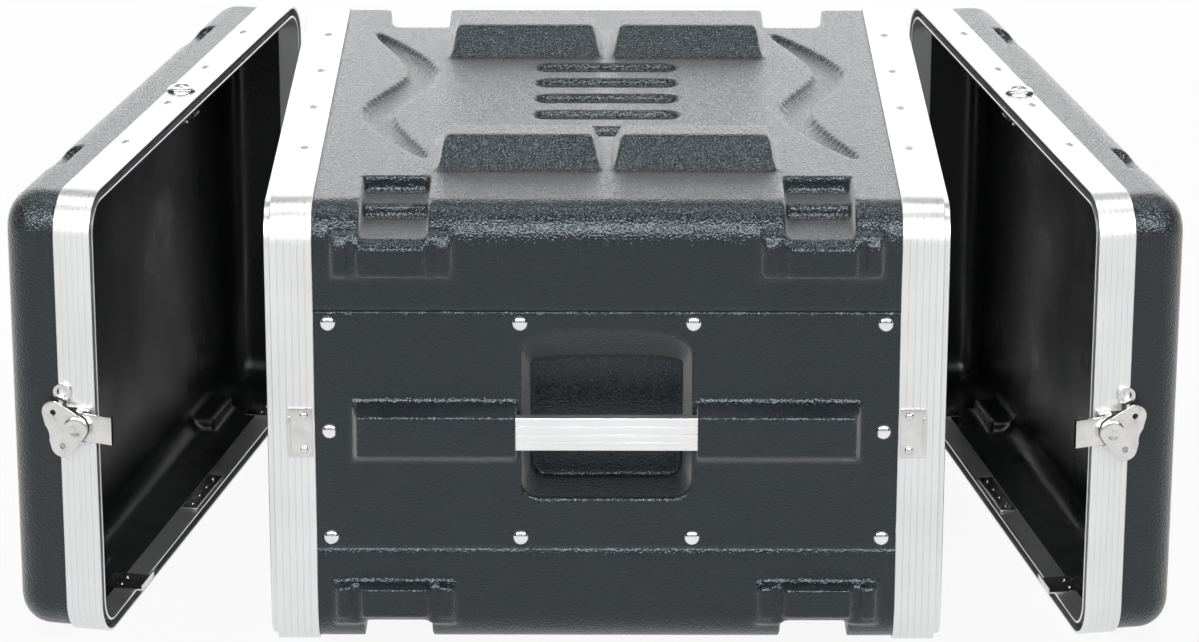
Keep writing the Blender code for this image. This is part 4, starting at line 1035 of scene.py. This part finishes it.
# ---- latches and locks -------------------------------------------------------------------------
def latch_base():
    """The fixed plate with its pivot boss, padlock eye and two ears for the hook's pin."""
    start, end, half = LATCH_BASE
    outer = -HALF_W - GAP
    face = outer - LATCH_SHEET
    base = box((from_lid_rim(end), face, MID_Z - half), (from_lid_rim(start), outer, MID_Z + half))
    eye_x = from_lid_rim(LATCH_PIVOT + EYE_PLACE[0])
    eye_z = MID_Z + EYE_PLACE[1]
    eye_deep = LATCH_SHEET + EYE_THICKER
    eye = cylinder((eye_x, outer - eye_deep / 2, eye_z), EYE_RADII[0], eye_deep, "Y")
    neck = box((eye_x - EYE_NECK, outer - LATCH_SHEET, MID_Z + half - SINK),
               (eye_x + EYE_NECK, outer - NECK_STEP, eye_z))
    boss = cylinder((from_lid_rim(LATCH_PIVOT), -HALF_W - (BOSS_TOP + BOSS_FOOT) / 2,
                     MID_Z), BOSS_RADIUS, BOSS_TOP - BOSS_FOOT, "Y")
    ear_half, ear_sheet, room = EAR
    ear_low = HOOK_HALF + room
    ears = [box((from_lid_rim(HOOK_AXIS[0] + ear_half), -HALF_W - HOOK_AXIS[1] - ear_half,
                 MID_Z + (ear_low if side > 0 else -ear_low - ear_sheet)),
                (from_lid_rim(HOOK_AXIS[0] - ear_half), outer - NECK_STEP,
                 MID_Z + (ear_low + ear_sheet if side > 0 else -ear_low))) for side in (-1, 1)]
    base = union(base, eye, neck, boss, *ears)
    pin_way = cylinder((from_lid_rim(HOOK_AXIS[0]), -HALF_W - HOOK_AXIS[1], MID_Z),
                       HOOK_PIN + GAP, 4 * HOOK_HALF, "Z")
    return subtract(base, cylinder((eye_x, -HALF_W, eye_z), EYE_RADII[1], 2 * OVER, "Y"),
                    pin_way)


def latch_hook():
    """The hook in its lowered place: a plate on a cross pin, with a lip turned inwards."""
    axis_x = from_lid_rim(HOOK_AXIS[0])
    tip = -RIM + HOOK_TIP
    under = -HALF_W - HOOK_UNDER
    plate = box((axis_x - HOOK_TAIL, under - HOOK_SHEET, MID_Z - HOOK_HALF),
                (tip, under, MID_Z + HOOK_HALF))
    lip = box((tip - HOOK_LIP, under - HOOK_SHEET / 2, MID_Z - HOOK_HALF),
              (tip, -HALF_W - HOOK_LIP_END, MID_Z + HOOK_HALF))
    pin = cylinder((axis_x, -HALF_W - HOOK_AXIS[1], MID_Z), HOOK_PIN,
                   2 * (HOOK_HALF + HOOK_PIN_END), "Z")
    return union(plate, lip, pin)


def latch_wing():
    """The turning wing: a bean-shaped plate under an offset disc, bored for the pivot boss."""
    pivot_x = from_lid_rim(LATCH_PIVOT)
    steps = 40
    points = []
    for back, up, radius in (*WING_LOBES, (-DISC_OFFSET, 0, DISC_RADIUS)):
        centre = (pivot_x - back, MID_Z + up)
        ring = arc(centre, radius, 0, 360 - 360 / steps, steps - 1)
        points += [(round(x, 7), round(z, 7)) for x, z in ring]
    low = -HALF_W - WING_LEVEL - WING_SHEET
    plate = extruded(convex_hull(points), 1, low, -HALF_W - WING_LEVEL)
    behind, above, waist_radius = WING_WAIST
    waist = cylinder((pivot_x - behind, low, MID_Z + above), waist_radius, OVER, "Y")
    plate = subtract(plate, waist)
    disc_deep = DISC_TOP - WING_LEVEL - WING_SHEET / 2
    disc = cylinder((pivot_x + DISC_OFFSET, -HALF_W - DISC_TOP + disc_deep / 2, MID_Z),
                    DISC_RADIUS, disc_deep, "Y")
    plate = union(plate, disc)
    ways = [cylinder((pivot_x, -HALF_W - DISC_TOP, MID_Z), BOSS_RADIUS + GAP, 2 * OVER, "Y")]
    ways += [cylinder((pivot_x - back, low, MID_Z + up), WING_HOLE, OVER, "Y")
             for back, up, radius in WING_LOBES]
    return subtract(plate, joined(*ways))


def lock_axis():
    return Vector((from_lid_rim(LOCK_FROM_RIM), 0, VALANCE_TOP))


def lock_hole():
    """The way for the lock's tube through the lid's valance and shell."""
    axis = lock_axis()
    return cylinder((axis.x, 0, axis.z), LOCK_TUBE + GAP, 3 * OVER, "Z")


def lock_barrel():
    axis = lock_axis()
    bezel = cylinder((axis.x, 0, axis.z + GAP + BEZEL_HEIGHT / 2), LOCK_BEZEL, BEZEL_HEIGHT,
                     "Z")
    tube = cylinder((axis.x, 0, axis.z + GAP + LOCK_END - LOCK_LENGTH / 2), LOCK_TUBE,
                    LOCK_LENGTH + LOCK_END, "Z")
    nut_radius, nut_height = LOCK_NUT
    nut = cylinder((axis.x, 0, axis.z - INNER_BACK - GAP - nut_height / 2), nut_radius,
                   nut_height, "Z", 6)
    bore = cylinder((axis.x, 0, axis.z), LOCK_BORE, 4 * LOCK_LENGTH, "Z")
    return subtract(union(bezel, tube, nut), bore)


def lock_plug():
    """The turning plug with its key slot, and the cam under it, pointing to the far side."""
    axis = lock_axis()
    bottom = LOCK_BOTTOM
    reach, half, sheet = LOCK_CAM
    top = axis.z + PLUG_HEIGHT
    slot_half, slot_reach, slot_depth = KEY_SLOT
    plug = cylinder((axis.x, 0, (top + bottom - sheet) / 2), LOCK_BORE - GAP,
                    top - bottom + sheet, "Z")
    cam = box((axis.x - half, -half, bottom - sheet), (axis.x + half, reach, bottom))
    slot = box((axis.x - slot_half, -slot_reach, top - slot_depth),
               (axis.x + slot_half, slot_reach, top + OVER))
    return subtract(union(plug, cam), slot)


def case_rivets(side):
    """(point, facing) of the ten domed rivets on one side of the case."""
    return [((x, -side * (SHELL_Y + GAP), MID_Z + level), (0, -side, 0))
            for x, level in side_rivet_places()]


def stake_mark():
    """One crimp in an aluminium edge: three short dashes, the middle one longer, made as thin slabs
    standing on the face rather than dents; their dark finish is painted shade for the dents.
    """
    bars = [box((-length / 2, offset - STAKE_BAR / 2, -STAKE_HIGH),
                (length / 2, offset + STAKE_BAR / 2, STAKE_HIGH))
            for offset, length in ((-STAKE_STEP, STAKE_LONG), (0, STAKE_SHORT),
                                   (STAKE_STEP, STAKE_LONG))]
    return joined(*bars)


def stake_places(x, level, facing):
    return [((x, y, level), (0, 0, facing)) for y in STAKE_Y]


def splice_plate():
    """The strap that joins the ends of the lid's aluminium edge, inside its lower leg."""
    level = VALANCE_BOTTOM + INNER_BACK + GAP
    return box((-LID_RIM - SPLICE[1] - SPLICE_IN, -SPLICE[0] / 2, level),
               (-LID_RIM - SPLICE_IN, SPLICE[0] / 2, level + SPLICE[2]))


def splice_rivets():
    level = VALANCE_BOTTOM + INNER_BACK + GAP + SPLICE[2]
    x = -LID_RIM - SPLICE_IN - SPLICE[1] / 2
    return [((x, y, level), (0, 0, 1)) for y in SPLICE_RIVET_Y]


def hook_rivets():
    """Two rivets on each hook bracket of a lid."""
    level = VALANCE_BOTTOM + INNER_BACK + GAP + LID_HOOK[2]
    x = -LID_RIM - LID_HOOK[1] / 2
    return [((x, side * LID_HOOK_Y + step * LID_HOOK[0] / 4, level), (0, 0, 1))
            for side in (-1, 1) for step in (-1, 1)]


def latch_rivets():
    """Four small rivets that hold a latch's base plate."""
    start, end, half = LATCH_BASE
    y = -HALF_W - GAP - LATCH_SHEET
    inset = LATCH_RIVET_INSET
    return [((from_lid_rim(along), y, MID_Z + side * (half - inset)), (0, -1, 0))
            for along in (end - inset, start + inset) for side in (-1, 1)]


def disc_cap():
    """The round head on the wing's disc: a chamfered rim round a shallow dish."""
    return turned([(DISC_RADIUS * share, height) for share, height in DISC_PROFILE], 48)


def lock_face():
    """The lock's domed bezel round its plug."""
    height, bottom = BEZEL_HEIGHT, -LOCK_LENGTH / 2
    lead, slope, crown = BEZEL_ROUND
    return turned([(LOCK_BORE, bottom), (LOCK_BORE, height * 0.8), (LOCK_BORE + lead, height),
                   (LOCK_BEZEL - slope, height), (LOCK_BEZEL - crown, height * 0.55),
                   (LOCK_BEZEL, 0), (LOCK_TUBE, 0), (LOCK_TUBE, bottom), (LOCK_BORE, bottom)],
                  56)


# ---- finishes ----------------------------------------------------------------------------------
class Finish:
    """A Principled material with short ways to add patterns in metres on Object coordinates."""

    def __init__(self, name, colour, metallic, **constants):
        self.material = bpy.data.materials.new(name)
        self.material.use_nodes = True
        self.tree = self.material.node_tree
        self.shader = self.tree.nodes["Principled BSDF"]
        self.shader.inputs["Metallic"].default_value = metallic
        self.shader.inputs["Base Color"].default_value = (*colour, 1)
        for socket, value in constants.items():
            self.shader.inputs[socket.replace("_", " ")].default_value = value
        self.place = self.node("ShaderNodeTexCoord").outputs["Object"]
        self.normal = None

    def node(self, kind, **settings):
        made = self.tree.nodes.new(kind)
        for name, value in settings.items():
            setattr(made, name, value)
        return made

    def link(self, source, target):
        self.tree.links.new(source, target)

    def stretched(self, scale):
        """Object coordinates with each axis multiplied."""
        mapping = self.node("ShaderNodeMapping")
        mapping.inputs["Scale"].default_value = scale
        self.link(self.place, mapping.inputs["Vector"])
        return mapping.outputs["Vector"]

    def noise(self, scale, detail=2.0, roughness=0.5, along=None):
        made = self.node("ShaderNodeTexNoise")
        made.inputs["Scale"].default_value = scale
        made.inputs["Detail"].default_value = detail
        made.inputs["Roughness"].default_value = roughness
        self.link(self.stretched(along) if along else self.place, made.inputs["Vector"])
        return made.outputs["Fac"]

    def pebbles(self, scale, smoothness=0.6):
        made = self.node("ShaderNodeTexVoronoi", feature="SMOOTH_F1")
        made.inputs["Scale"].default_value = scale
        made.inputs["Smoothness"].default_value = smoothness
        self.link(self.place, made.inputs["Vector"])
        return made.outputs["Distance"]

    def fit(self, value, low, high, new_low, new_high):
        made = self.node("ShaderNodeMapRange")
        for name, number in (("From Min", low), ("From Max", high), ("To Min", new_low),
                             ("To Max", new_high)):
            made.inputs[name].default_value = number
        self.link(value, made.inputs["Value"])
        return made.outputs["Result"]

    def both(self, first, second, operation="ADD"):
        made = self.node("ShaderNodeMath", operation=operation)
        self.link(first, made.inputs[0])
        self.link(second, made.inputs[1])
        return made.outputs[0]

    def roughness(self, value, rough_low, rough_high, low=0.3, high=0.7):
        self.link(self.fit(value, low, high, rough_low, rough_high),
                  self.shader.inputs["Roughness"])

    def colours(self, value, dark, light, low=0.35, high=0.65):
        made = self.node("ShaderNodeMix", data_type="RGBA")
        ends = {"A": dark, "B": light}
        for socket in made.inputs:
            if socket.type == "RGBA":
                socket.default_value = (*ends[socket.name], 1)
        self.link(self.fit(value, low, high, 0, 1), made.inputs["Factor"])
        result = next(socket for socket in made.outputs if socket.type == "RGBA")
        self.link(result, self.shader.inputs["Base Color"])

    def bump(self, height, metres, strength=1.0):
        made = self.node("ShaderNodeBump")
        made.inputs["Distance"].default_value = metres
        made.inputs["Strength"].default_value = strength
        self.link(height, made.inputs["Height"])
        if self.normal is not None:
            self.link(self.normal, made.inputs["Normal"])
        self.normal = made.outputs["Normal"]
        self.link(self.normal, self.shader.inputs["Normal"])


# patterns: how many to the metre, then detail or softness, with a bump's height after them
PATCHES = (25.0, 4.0)
SHINE_PATCHES = (160.0, 3.0)
PEBBLES = ((620.0, 0.6), 0.00030)
FINE_GRAIN = ((800.0, 0.0), 0.00038)
DUST = (420.0, 2.0)
WIPED = (14.0, 4.0)
WAVINESS = ((10.0, 2.0), 0.0012)
INSIDE_GRAIN = ((700.0, 2.0), 0.00006)
SMUDGES = (18.0, 3.0)
DIE_LINES = ((1.0, 3.0, 0.6), 0.00012, 0.6)
HANDLING = (90.0, 3.0)
PLATE_SHINE = (240.0, 3.0)
PLATE_HEIGHT = 0.00004
COAT_SHINE = (300.0, 2.0)
COAT_GRAIN = ((1400.0, 2.0), 0.00008)
SEAL_SHINE = (500.0, 2.0)
SEAL_GRAIN = ((900.0, 2.0), 0.0001)


def darker(colour, share):
    return tuple(channel * share for channel in colour)


def grained_plastic():
    """Black polyethylene with a pebbled grain, and patches a little duller than the rest."""
    made = Finish("moulded_black_grain", (0.016, 0.020, 0.024), 0.0, Specular_IOR_Level=0.5,
                  Specular_Tint=(0.84, 0.95, 1.0, 1.0), Sheen_Weight=0.8, Sheen_Roughness=0.45)
    made.colours(made.noise(*PATCHES), (0.014, 0.018, 0.022), (0.018, 0.023, 0.028))
    made.roughness(made.noise(*SHINE_PATCHES), 0.17, 0.24)
    made.bump(made.pebbles(*PEBBLES[0]), PEBBLES[1])
    made.bump(made.noise(*FINE_GRAIN[0]), FINE_GRAIN[1])
    return made.material


def smooth_plastic():
    """The glossier inside of the shells, with draw marks and fine dust."""
    made = Finish("moulded_black_inside", (0.012, 0.013, 0.014), 0.0, Specular_IOR_Level=0.5)
    made.colours(made.noise(*DUST), (0.010, 0.011, 0.012), (0.020, 0.021, 0.023), 0.45, 0.75)
    made.roughness(made.noise(*WIPED), 0.24, 0.40)
    made.bump(made.noise(*WAVINESS[0]), WAVINESS[1])
    made.bump(made.noise(*INSIDE_GRAIN[0]), INSIDE_GRAIN[1])
    return made.material


def drawn_aluminium(name, along, colour):
    """Satin aluminium with the fine lines of its die along one direction."""
    made = Finish(name, colour, 1.0)
    lines = made.noise(*DIE_LINES[0], along)
    smudges = made.noise(*SMUDGES)
    made.colours(made.both(lines, smudges, "MULTIPLY"), darker(colour, 0.93), colour, 0.1, 0.4)
    made.roughness(made.both(lines, smudges), 0.30, 0.46, 0.6, 1.4)
    made.bump(lines, *DIE_LINES[1:])
    return made.material


def plated(name, colour, rough, grain):
    """Plated steel: bright, faintly uneven, with light handling marks."""
    made = Finish(name, colour, 1.0)
    made.colours(made.noise(*HANDLING), darker(colour, 0.88), colour)
    made.roughness(made.noise(*PLATE_SHINE), rough * 0.8, rough * 1.25)
    made.bump(made.noise(grain, 2.0), PLATE_HEIGHT)
    return made.material


def matt_black(name, colour, shine, rough, grain, **constants):
    """A plain dull black with a very fine grain."""
    made = Finish(name, colour, 0.0, **constants)
    made.roughness(made.noise(*shine), *rough)
    made.bump(made.noise(*grain[0]), grain[1])
    return made.material


GRAIN = grained_plastic()
INSIDE = smooth_plastic()
EDGE_METAL = drawn_aluminium("satin_edge_aluminium", (900.0, 0.0, 0.0), (0.77, 0.775, 0.78))
BAR_METAL = drawn_aluminium("satin_bar_aluminium", (0.0, 900.0, 900.0), (0.85, 0.855, 0.86))
NICKEL = plated("bright_nickel", (0.71, 0.705, 0.69), 0.22, 500.0)
CHROME = plated("rivet_chrome", (0.84, 0.84, 0.86), 0.10, 300.0)
STEEL = matt_black("black_coated_steel", (0.022, 0.022, 0.024), COAT_SHINE, (0.34, 0.46),
                   COAT_GRAIN, Specular_IOR_Level=0.5)
SEAL = matt_black("black_seal", (0.018, 0.018, 0.019), SEAL_SHINE, (0.60, 0.75), SEAL_GRAIN)
# painted shade: a dark grey plated finish on the crimp slabs stands in for the shade inside the
# pressed dents
CRIMP_SHADE = plated("crimp_painted_shade", (0.20, 0.20, 0.21), 0.5, 800.0)


# ---- places of the opened lids -----------------------------------------------------------------
def swing(joint_name):
    """How a joint's child stands at rest, from where it is with the joint at its far limit."""
    joint = next(item for item in frame["joints"] if item["name"] == joint_name)
    low, high = joint["range_deg"]
    reach = high if abs(high) > abs(low) else low
    return Vector(joint["pos_m"]), Vector(joint["axis"]), math.radians(reach)


def lid_place(end):
    pole, axis, reach = swing(f"{end}_lid_swing")
    return (Matrix.Translation(pole) @ Matrix.Rotation(-reach, 4, axis)
            @ Matrix.Translation(-pole))


def hook_place(end, side, sx, sy):
    """The lifted hook, before its lid is swung out."""
    pin = Vector((sx * from_lid_rim(HOOK_AXIS[0]), -sy * (HALF_W + HOOK_AXIS[1]), MID_Z))
    axis, reach = swing(f"{end}_hook_drop_{side}")[1:]
    return Matrix.Translation(pin) @ Matrix.Rotation(-reach, 4, axis) @ Matrix.Translation(-pin)


def mirrored_places(places, sx, sy):
    return [((x * sx, y * sy, z), (a * sx, b * sy, c)) for (x, y, z), (a, b, c) in places]


def two_faced(obj, inside):
    """The second finish on the faces whose middles are inside the hollow."""
    for face in obj.data.polygons:
        if inside(face.center, face.normal):
            face.material_index = 1
    return obj


def in_body(point, facing):
    """True where a face of the body looks into its hollow."""
    inwards = Vector((0, -point.y, MID_Z - point.z))
    return (facing.dot(inwards) > TURNED_IN * inwards.length
            and abs(point.y) < SHELL_Y - PAST_SKIN
            and PAST_SKIN < point.z < SHELL_TOP - PAST_SKIN
            and math.hypot(max(abs(point.y) - SHELL_Y + SHELL_RADIUS, 0),
                           max(abs(point.z - MID_Z) - MID_Z + SHELL_RADIUS, 0))
            < SHELL_RADIUS - PAST_SKIN)


# ---- the object --------------------------------------------------------------------------------
SIDES = (("near", 1), ("far", -1))
ENDS = (("front", 1), ("rear", -1))


def domed(radius, height, foot, steps, sides):
    """A round head of a rivet that stands on a short foot."""
    angles = [math.pi / 2 * i / steps for i in range(steps + 1)]
    curve = [(radius * math.sin(angle), height * math.cos(angle)) for angle in angles]
    return turned(curve + foot, sides)


def small_head(radius, height):
    foot = -SINK / 4
    return domed(radius, height, [(radius, foot), (0, foot)], 5, 18)


def make_body():
    for name, mesh in (("case_top", top_shell()), ("case_bottom", bottom_shell())):
        shell = piece(f"{name}_moulding", moulded(mesh, VOXEL, 3), "case",
                      [GRAIN, INSIDE], [f"{name}_shell"])
        two_faced(shell, in_body)
    panel = moulded(side_panel(), VOXEL * 0.75, 3, 0.40)
    bar = machined(handle_bar(), SOFT_EDGE)
    rail = machined(rack_rail(), SOFT_EDGE)
    keeper = machined(strike(), SOFT_EDGE)
    valance = smoothed(body_valance(), RING_CREASE)
    for side, sy in SIDES:
        shell = piece(f"handle_panel_{side}", reflected(panel, 1, sy), "case",
                      [GRAIN, INSIDE], [f"side_panel_{side}"])
        two_faced(shell, lambda point, facing: abs(point.y) < PANEL_Y + GAP
                  and facing.y * point.y < 0 and abs(point.x) > GRIP_HALF + GRIP_WALL)
        piece(f"carrying_bar_{side}", reflected(bar, 1, sy), "case",
              [BAR_METAL], [f"handle_bar_{side}"])
        dome = domed(RIVET_HEAD, RIVET_DOME, [(0, 0)], 8, 28)
        piece(f"side_rivets_{side}", repeated(case_rivets(sy), dome, CHROME), "case",
              [CHROME],
              [f"rivet_{side}_{number:02d}" for number in range(1, 11)])
    stake = stake_mark()
    for end, sx in ENDS:
        piece(f"{end}_edge_ring", reflected(valance, sx, 1), "case",
              [EDGE_METAL], [f"{end}_valance"])
        # crimp slabs along the top and bottom of the edge, dark with painted shade for their dents
        marks = stake_places(-sx * (RIM - STAKE_FROM_RIM), VALANCE_TOP, 1)
        marks += stake_places(-sx * (RIM - STAKE_FROM_RIM), VALANCE_BOTTOM, -1)
        piece(f"{end}_edge_crimps", repeated(marks, stake.copy(), CRIMP_SHADE), "case",
              [CRIMP_SHADE])
        heads = []
        for side, sy in SIDES:
            piece(f"{end}_rack_angle_{side}", reflected(rail, sx, sy), "case",
                  [STEEL], [f"rack_rail_{end}_{side}"])
            piece(f"{end}_keeper_{side}", reflected(keeper, sx, sy), "case",
                  [NICKEL], [f"strike_{end}_{side}"])
            heads += mirrored_places(strike_rivets(), sx, sy)
        head = small_head(*STRIKE_RIVET[2:])
        piece(f"{end}_keeper_rivets", repeated(heads, head, NICKEL), "case",
              [NICKEL])


def make_latch(end, side, sx, sy, place):
    shapes = (("base", machined(latch_base(), 0.00025), "lid"),
              ("wing", machined(latch_wing(), 0.0004), f"latch_wing_{side}"),
              ("hook", machined(latch_hook(), SOFT_EDGE), f"latch_hook_{side}"))
    for kind, mesh, body in shapes:
        mesh = reflected(mesh, sx, sy)
        if kind == "hook":
            mesh.transform(hook_place(end, side, sx, sy))
        mesh.transform(place)
        piece(f"{end}_catch_{kind}_{side}", mesh, f"{end}_{body}", [NICKEL],
              [f"{end}_latch_{kind}_{side}"])
    centre = (from_lid_rim(LATCH_PIVOT) + DISC_OFFSET, -HALF_W - DISC_TOP, MID_Z)
    heads = repeated(mirrored_places([(centre, (0, -1, 0))], sx, sy), disc_cap(), NICKEL)
    heads.transform(place)
    piece(f"{end}_catch_disc_{side}", heads, f"{end}_latch_wing_{side}",
          [NICKEL])
    rivets = repeated(mirrored_places(latch_rivets(), sx, sy),
                      small_head(*LATCH_RIVET), NICKEL)
    rivets.transform(place)
    piece(f"{end}_catch_rivets_{side}", rivets, f"{end}_lid", [NICKEL])


def in_lid(point, facing):
    """True where a face looks into a lid's hollow, for the front lid when it is closed."""
    inwards = Vector((-RIM - point.x, -point.y, MID_Z - point.z))
    return (facing.dot(inwards) > 0 and point.x > -LID_BACK + PAST_SKIN
            and abs(point.y) < SHELL_Y - PAST_SKIN
            and PAST_SKIN < point.z < SHELL_TOP - PAST_SKIN)


def make_lid(end, sx):
    place = lid_place(end)
    back = place.inverted()

    def put(name, mesh, finish, replaces=(), body="lid"):
        mesh.transform(place)
        return piece(f"{end}_{name}", mesh, f"{end}_{body}", finish, replaces)

    shell = put("lid_moulding", moulded(reflected(lid_shell(), sx, 1), VOXEL, 4),
                [GRAIN, INSIDE], [f"{end}_lid_shell"])
    flip = Matrix.Diagonal((sx, 1, 1, 1))
    turn = (flip @ back).to_3x3()
    two_faced(shell, lambda point, facing: in_lid(flip @ back @ point, turn @ facing))
    ring = smoothed(reflected(lid_valance(), sx, 1), RING_CREASE)
    put("lid_edge_ring", ring, [EDGE_METAL], [f"{end}_lid_valance"])
    put("lid_seal", reflected(lid_seal(), sx, 1), [SEAL])
    bracket = machined(lid_hook(), SOFT_EDGE)
    for side, sy in SIDES:
        put(f"lid_bracket_{side}", reflected(bracket, sx, sy), [NICKEL],
            [f"{end}_lid_hook_{side}"])
        make_latch(end, side, sx, sy, place)
    put("lid_splice", machined(reflected(splice_plate(), sx, 1), SOFT_EDGE),
        [NICKEL])
    places = mirrored_places(splice_rivets() + hook_rivets(), sx, 1)
    put("lid_inner_rivets", repeated(places, small_head(*LATCH_RIVET), NICKEL),
        [NICKEL])
    # crimp slabs on the lid's edge, dark with painted shade for their dents
    marks = mirrored_places(stake_places(-LID_RIM - STAKE_FROM_RIM, VALANCE_TOP, 1), sx, 1)
    put("lid_crimps", repeated([spot for spot in marks if abs(spot[0][1]) > LOCK_BEZEL * 2],
                               stake_mark(), CRIMP_SHADE), [CRIMP_SHADE])
    axis = lock_axis()
    face = lock_face()
    face.transform(Matrix.Translation((sx * axis.x, 0, axis.z + GAP)))
    above = box((sx * axis.x - LOCK_TRIM, -LOCK_TRIM, axis.z + GAP / 2),
                (sx * axis.x + LOCK_TRIM, LOCK_TRIM, axis.z + LOCK_TRIM))
    barrel = subtract(reflected(lock_barrel(), sx, 1), above)
    put("lock_tube", machined(barrel, 0.0002), [NICKEL],
        [f"{end}_lock_barrel"])
    put("lock_bezel", face, [NICKEL])
    put("lock_core", machined(reflected(lock_plug(), sx, 1), 0.0002),
        [NICKEL], [f"{end}_lock_plug"], "lock_plug")


make_body()
for lid_end, lid_sx in ENDS:
    make_lid(lid_end, lid_sx)


# ---- studio ------------------------------------------------------------------------------------
def node(tree, kind, operation=None, **inputs):
    """A new node, with an operation and numbers on its named or numbered inputs."""
    made = tree.nodes.new(f"ShaderNode{kind}")
    if operation:
        made.operation = operation
    for name, value in inputs.items():
        key = int(name[1:]) if name[0] == "_" else name.replace("_", " ")
        made.inputs[key].default_value = value
    return made


def wire(tree, *pairs):
    for source, target in pairs:
        tree.links.new(source, target)


def seen_or_mirrored(tree):
    """1 for rays from the camera and for those off metal, gloss or glass, otherwise 0."""
    path = node(tree, "LightPath")
    total = path.outputs["Is Camera Ray"]
    for kind in ("Is Glossy Ray", "Is Transmission Ray"):
        either = node(tree, "Math", "MAXIMUM")
        wire(tree, (total, either.inputs[0]), (path.outputs[kind], either.inputs[1]))
        total = either.outputs[0]
    return total


def backdrop_material():
    """A pale floor that keeps soft shadows and goes white behind the object."""
    made = bpy.data.materials.new("pale_floor")
    made.use_nodes = True
    tree = made.node_tree
    shader = tree.nodes["Principled BSDF"]
    shader.inputs["Base Color"].default_value = (0.90, 0.90, 0.90, 1)
    shader.inputs["Roughness"].default_value = 0.9
    shader.inputs["Specular IOR Level"].default_value = 0.0
    glow = node(tree, "Emission", Strength=1.0)
    share = node(tree, "Math", "MULTIPLY", _1=FLOOR_GLOW)
    mixed = node(tree, "MixShader")
    wire(tree, (seen_or_mirrored(tree), share.inputs[0]), (share.outputs[0], mixed.inputs[0]),
         (shader.outputs[0], mixed.inputs[1]), (glow.outputs[0], mixed.inputs[2]),
         (mixed.outputs[0], tree.nodes["Material Output"].inputs[0]))
    return made


def arc_sheet(low_deg, high_deg, width, distance):
    """A sheet bent about X at a distance from the object, between two heights behind it."""
    bm = bmesh.new()
    rows = []
    for i in range(CARD_STEPS + 1):
        angle = math.radians(low_deg + (high_deg - low_deg) * i / CARD_STEPS)
        y, z = distance * math.cos(angle), distance * math.sin(angle)
        rows.append([bm.verts.new((side * width / 2, y, z)) for side in (-1, 1)])
    for lower, upper in zip(rows, rows[1:]):
        bm.faces.new((lower[0], lower[1], upper[1], upper[0]))
    return finish_mesh(bm, "sheet")


def card_material():
    """A glow that changes with height, from behind the object, over its top, to its front."""
    made = bpy.data.materials.new("graded_card")
    made.use_nodes = True
    tree = made.node_tree
    place, parts = node(tree, "TexCoord"), node(tree, "SeparateXYZ")
    angle = node(tree, "Math", "ARCTAN2")
    share = node(tree, "Math", "DIVIDE", _1=math.pi)
    ramp = node(tree, "ValToRGB")
    glow = node(tree, "Emission", Strength=CARD_BRIGHTEST)
    wire(tree, (place.outputs["Object"], parts.inputs[0]), (parts.outputs["Z"], angle.inputs[0]),
         (parts.outputs["Y"], angle.inputs[1]), (angle.outputs[0], share.inputs[0]),
         (share.outputs[0], ramp.inputs["Fac"]), (ramp.outputs["Color"], glow.inputs["Color"]),
         (glow.outputs[0], tree.nodes["Material Output"].inputs[0]))
    stops = ramp.color_ramp.elements
    while len(stops) < len(CARD_LIGHT):
        stops.new(1.0)
    for stop, (degrees, light) in zip(stops, CARD_LIGHT):
        stop.position = degrees / 180.0
        stop.color = (*[light / CARD_BRIGHTEST] * 3, 1)
    return made


def make_studio():
    floor = as_object(box((-FLOOR_SIZE, -FLOOR_SIZE, VALANCE_BOTTOM - FLOOR_DEEP),
                          (FLOOR_SIZE, FLOOR_SIZE, VALANCE_BOTTOM - FLOOR_GAP)), "floor")
    floor.data.materials.append(backdrop_material())
    world = bpy.data.worlds.new("studio")
    bpy.context.scene.world = world
    world.use_nodes = True
    tree = world.node_tree
    strength = node(tree, "MapRange", To_Min=WORLD_FILL, To_Max=1.0)
    wire(tree, (seen_or_mirrored(tree), strength.inputs["Value"]),
         (strength.outputs["Result"], tree.nodes["Background"].inputs["Strength"]))
    low, high, width, distance = CARD
    card = as_object(arc_sheet(low, high, width, distance), "light_card")
    card.data.materials.append(card_material())
    card.visible_camera = card.visible_shadow = card.visible_diffuse = False
    for name, place, size, power in SOFTBOXES:
        lamp = bpy.data.lights.new(name, "AREA")
        lamp.shape = "RECTANGLE"
        lamp.size, lamp.size_y = size
        lamp.energy = power
        obj = bpy.data.objects.new(name, lamp)
        bpy.context.scene.collection.objects.link(obj)
        obj.location = place
        obj.visible_glossy = False
        aim = Vector(LIT_POINT) - obj.location
        obj.rotation_euler = aim.to_track_quat("-Z", "Y").to_euler()


def make_camera():
    lens = bpy.data.cameras.new("camera")
    lens.sensor_width = 36.0
    lens.lens = CAMERA_LENS
    lens.shift_x, lens.shift_y = CAMERA_SHIFT
    lens.clip_end = 100
    obj = bpy.data.objects.new("camera", lens)
    bpy.context.scene.collection.objects.link(obj)
    obj.location = CAMERA_PLACE
    pitch, roll, yaw = (math.radians(value) for value in CAMERA_TURN)
    turn = Matrix.Rotation(yaw, 4, "Z") @ Matrix.Rotation(math.pi / 2 - pitch, 4, "X")
    obj.rotation_euler = (turn @ Matrix.Rotation(roll, 4, "Z")).to_euler()
    bpy.context.scene.camera = obj


make_studio()
make_camera()
bpy.context.scene.view_settings.view_transform = "Standard"
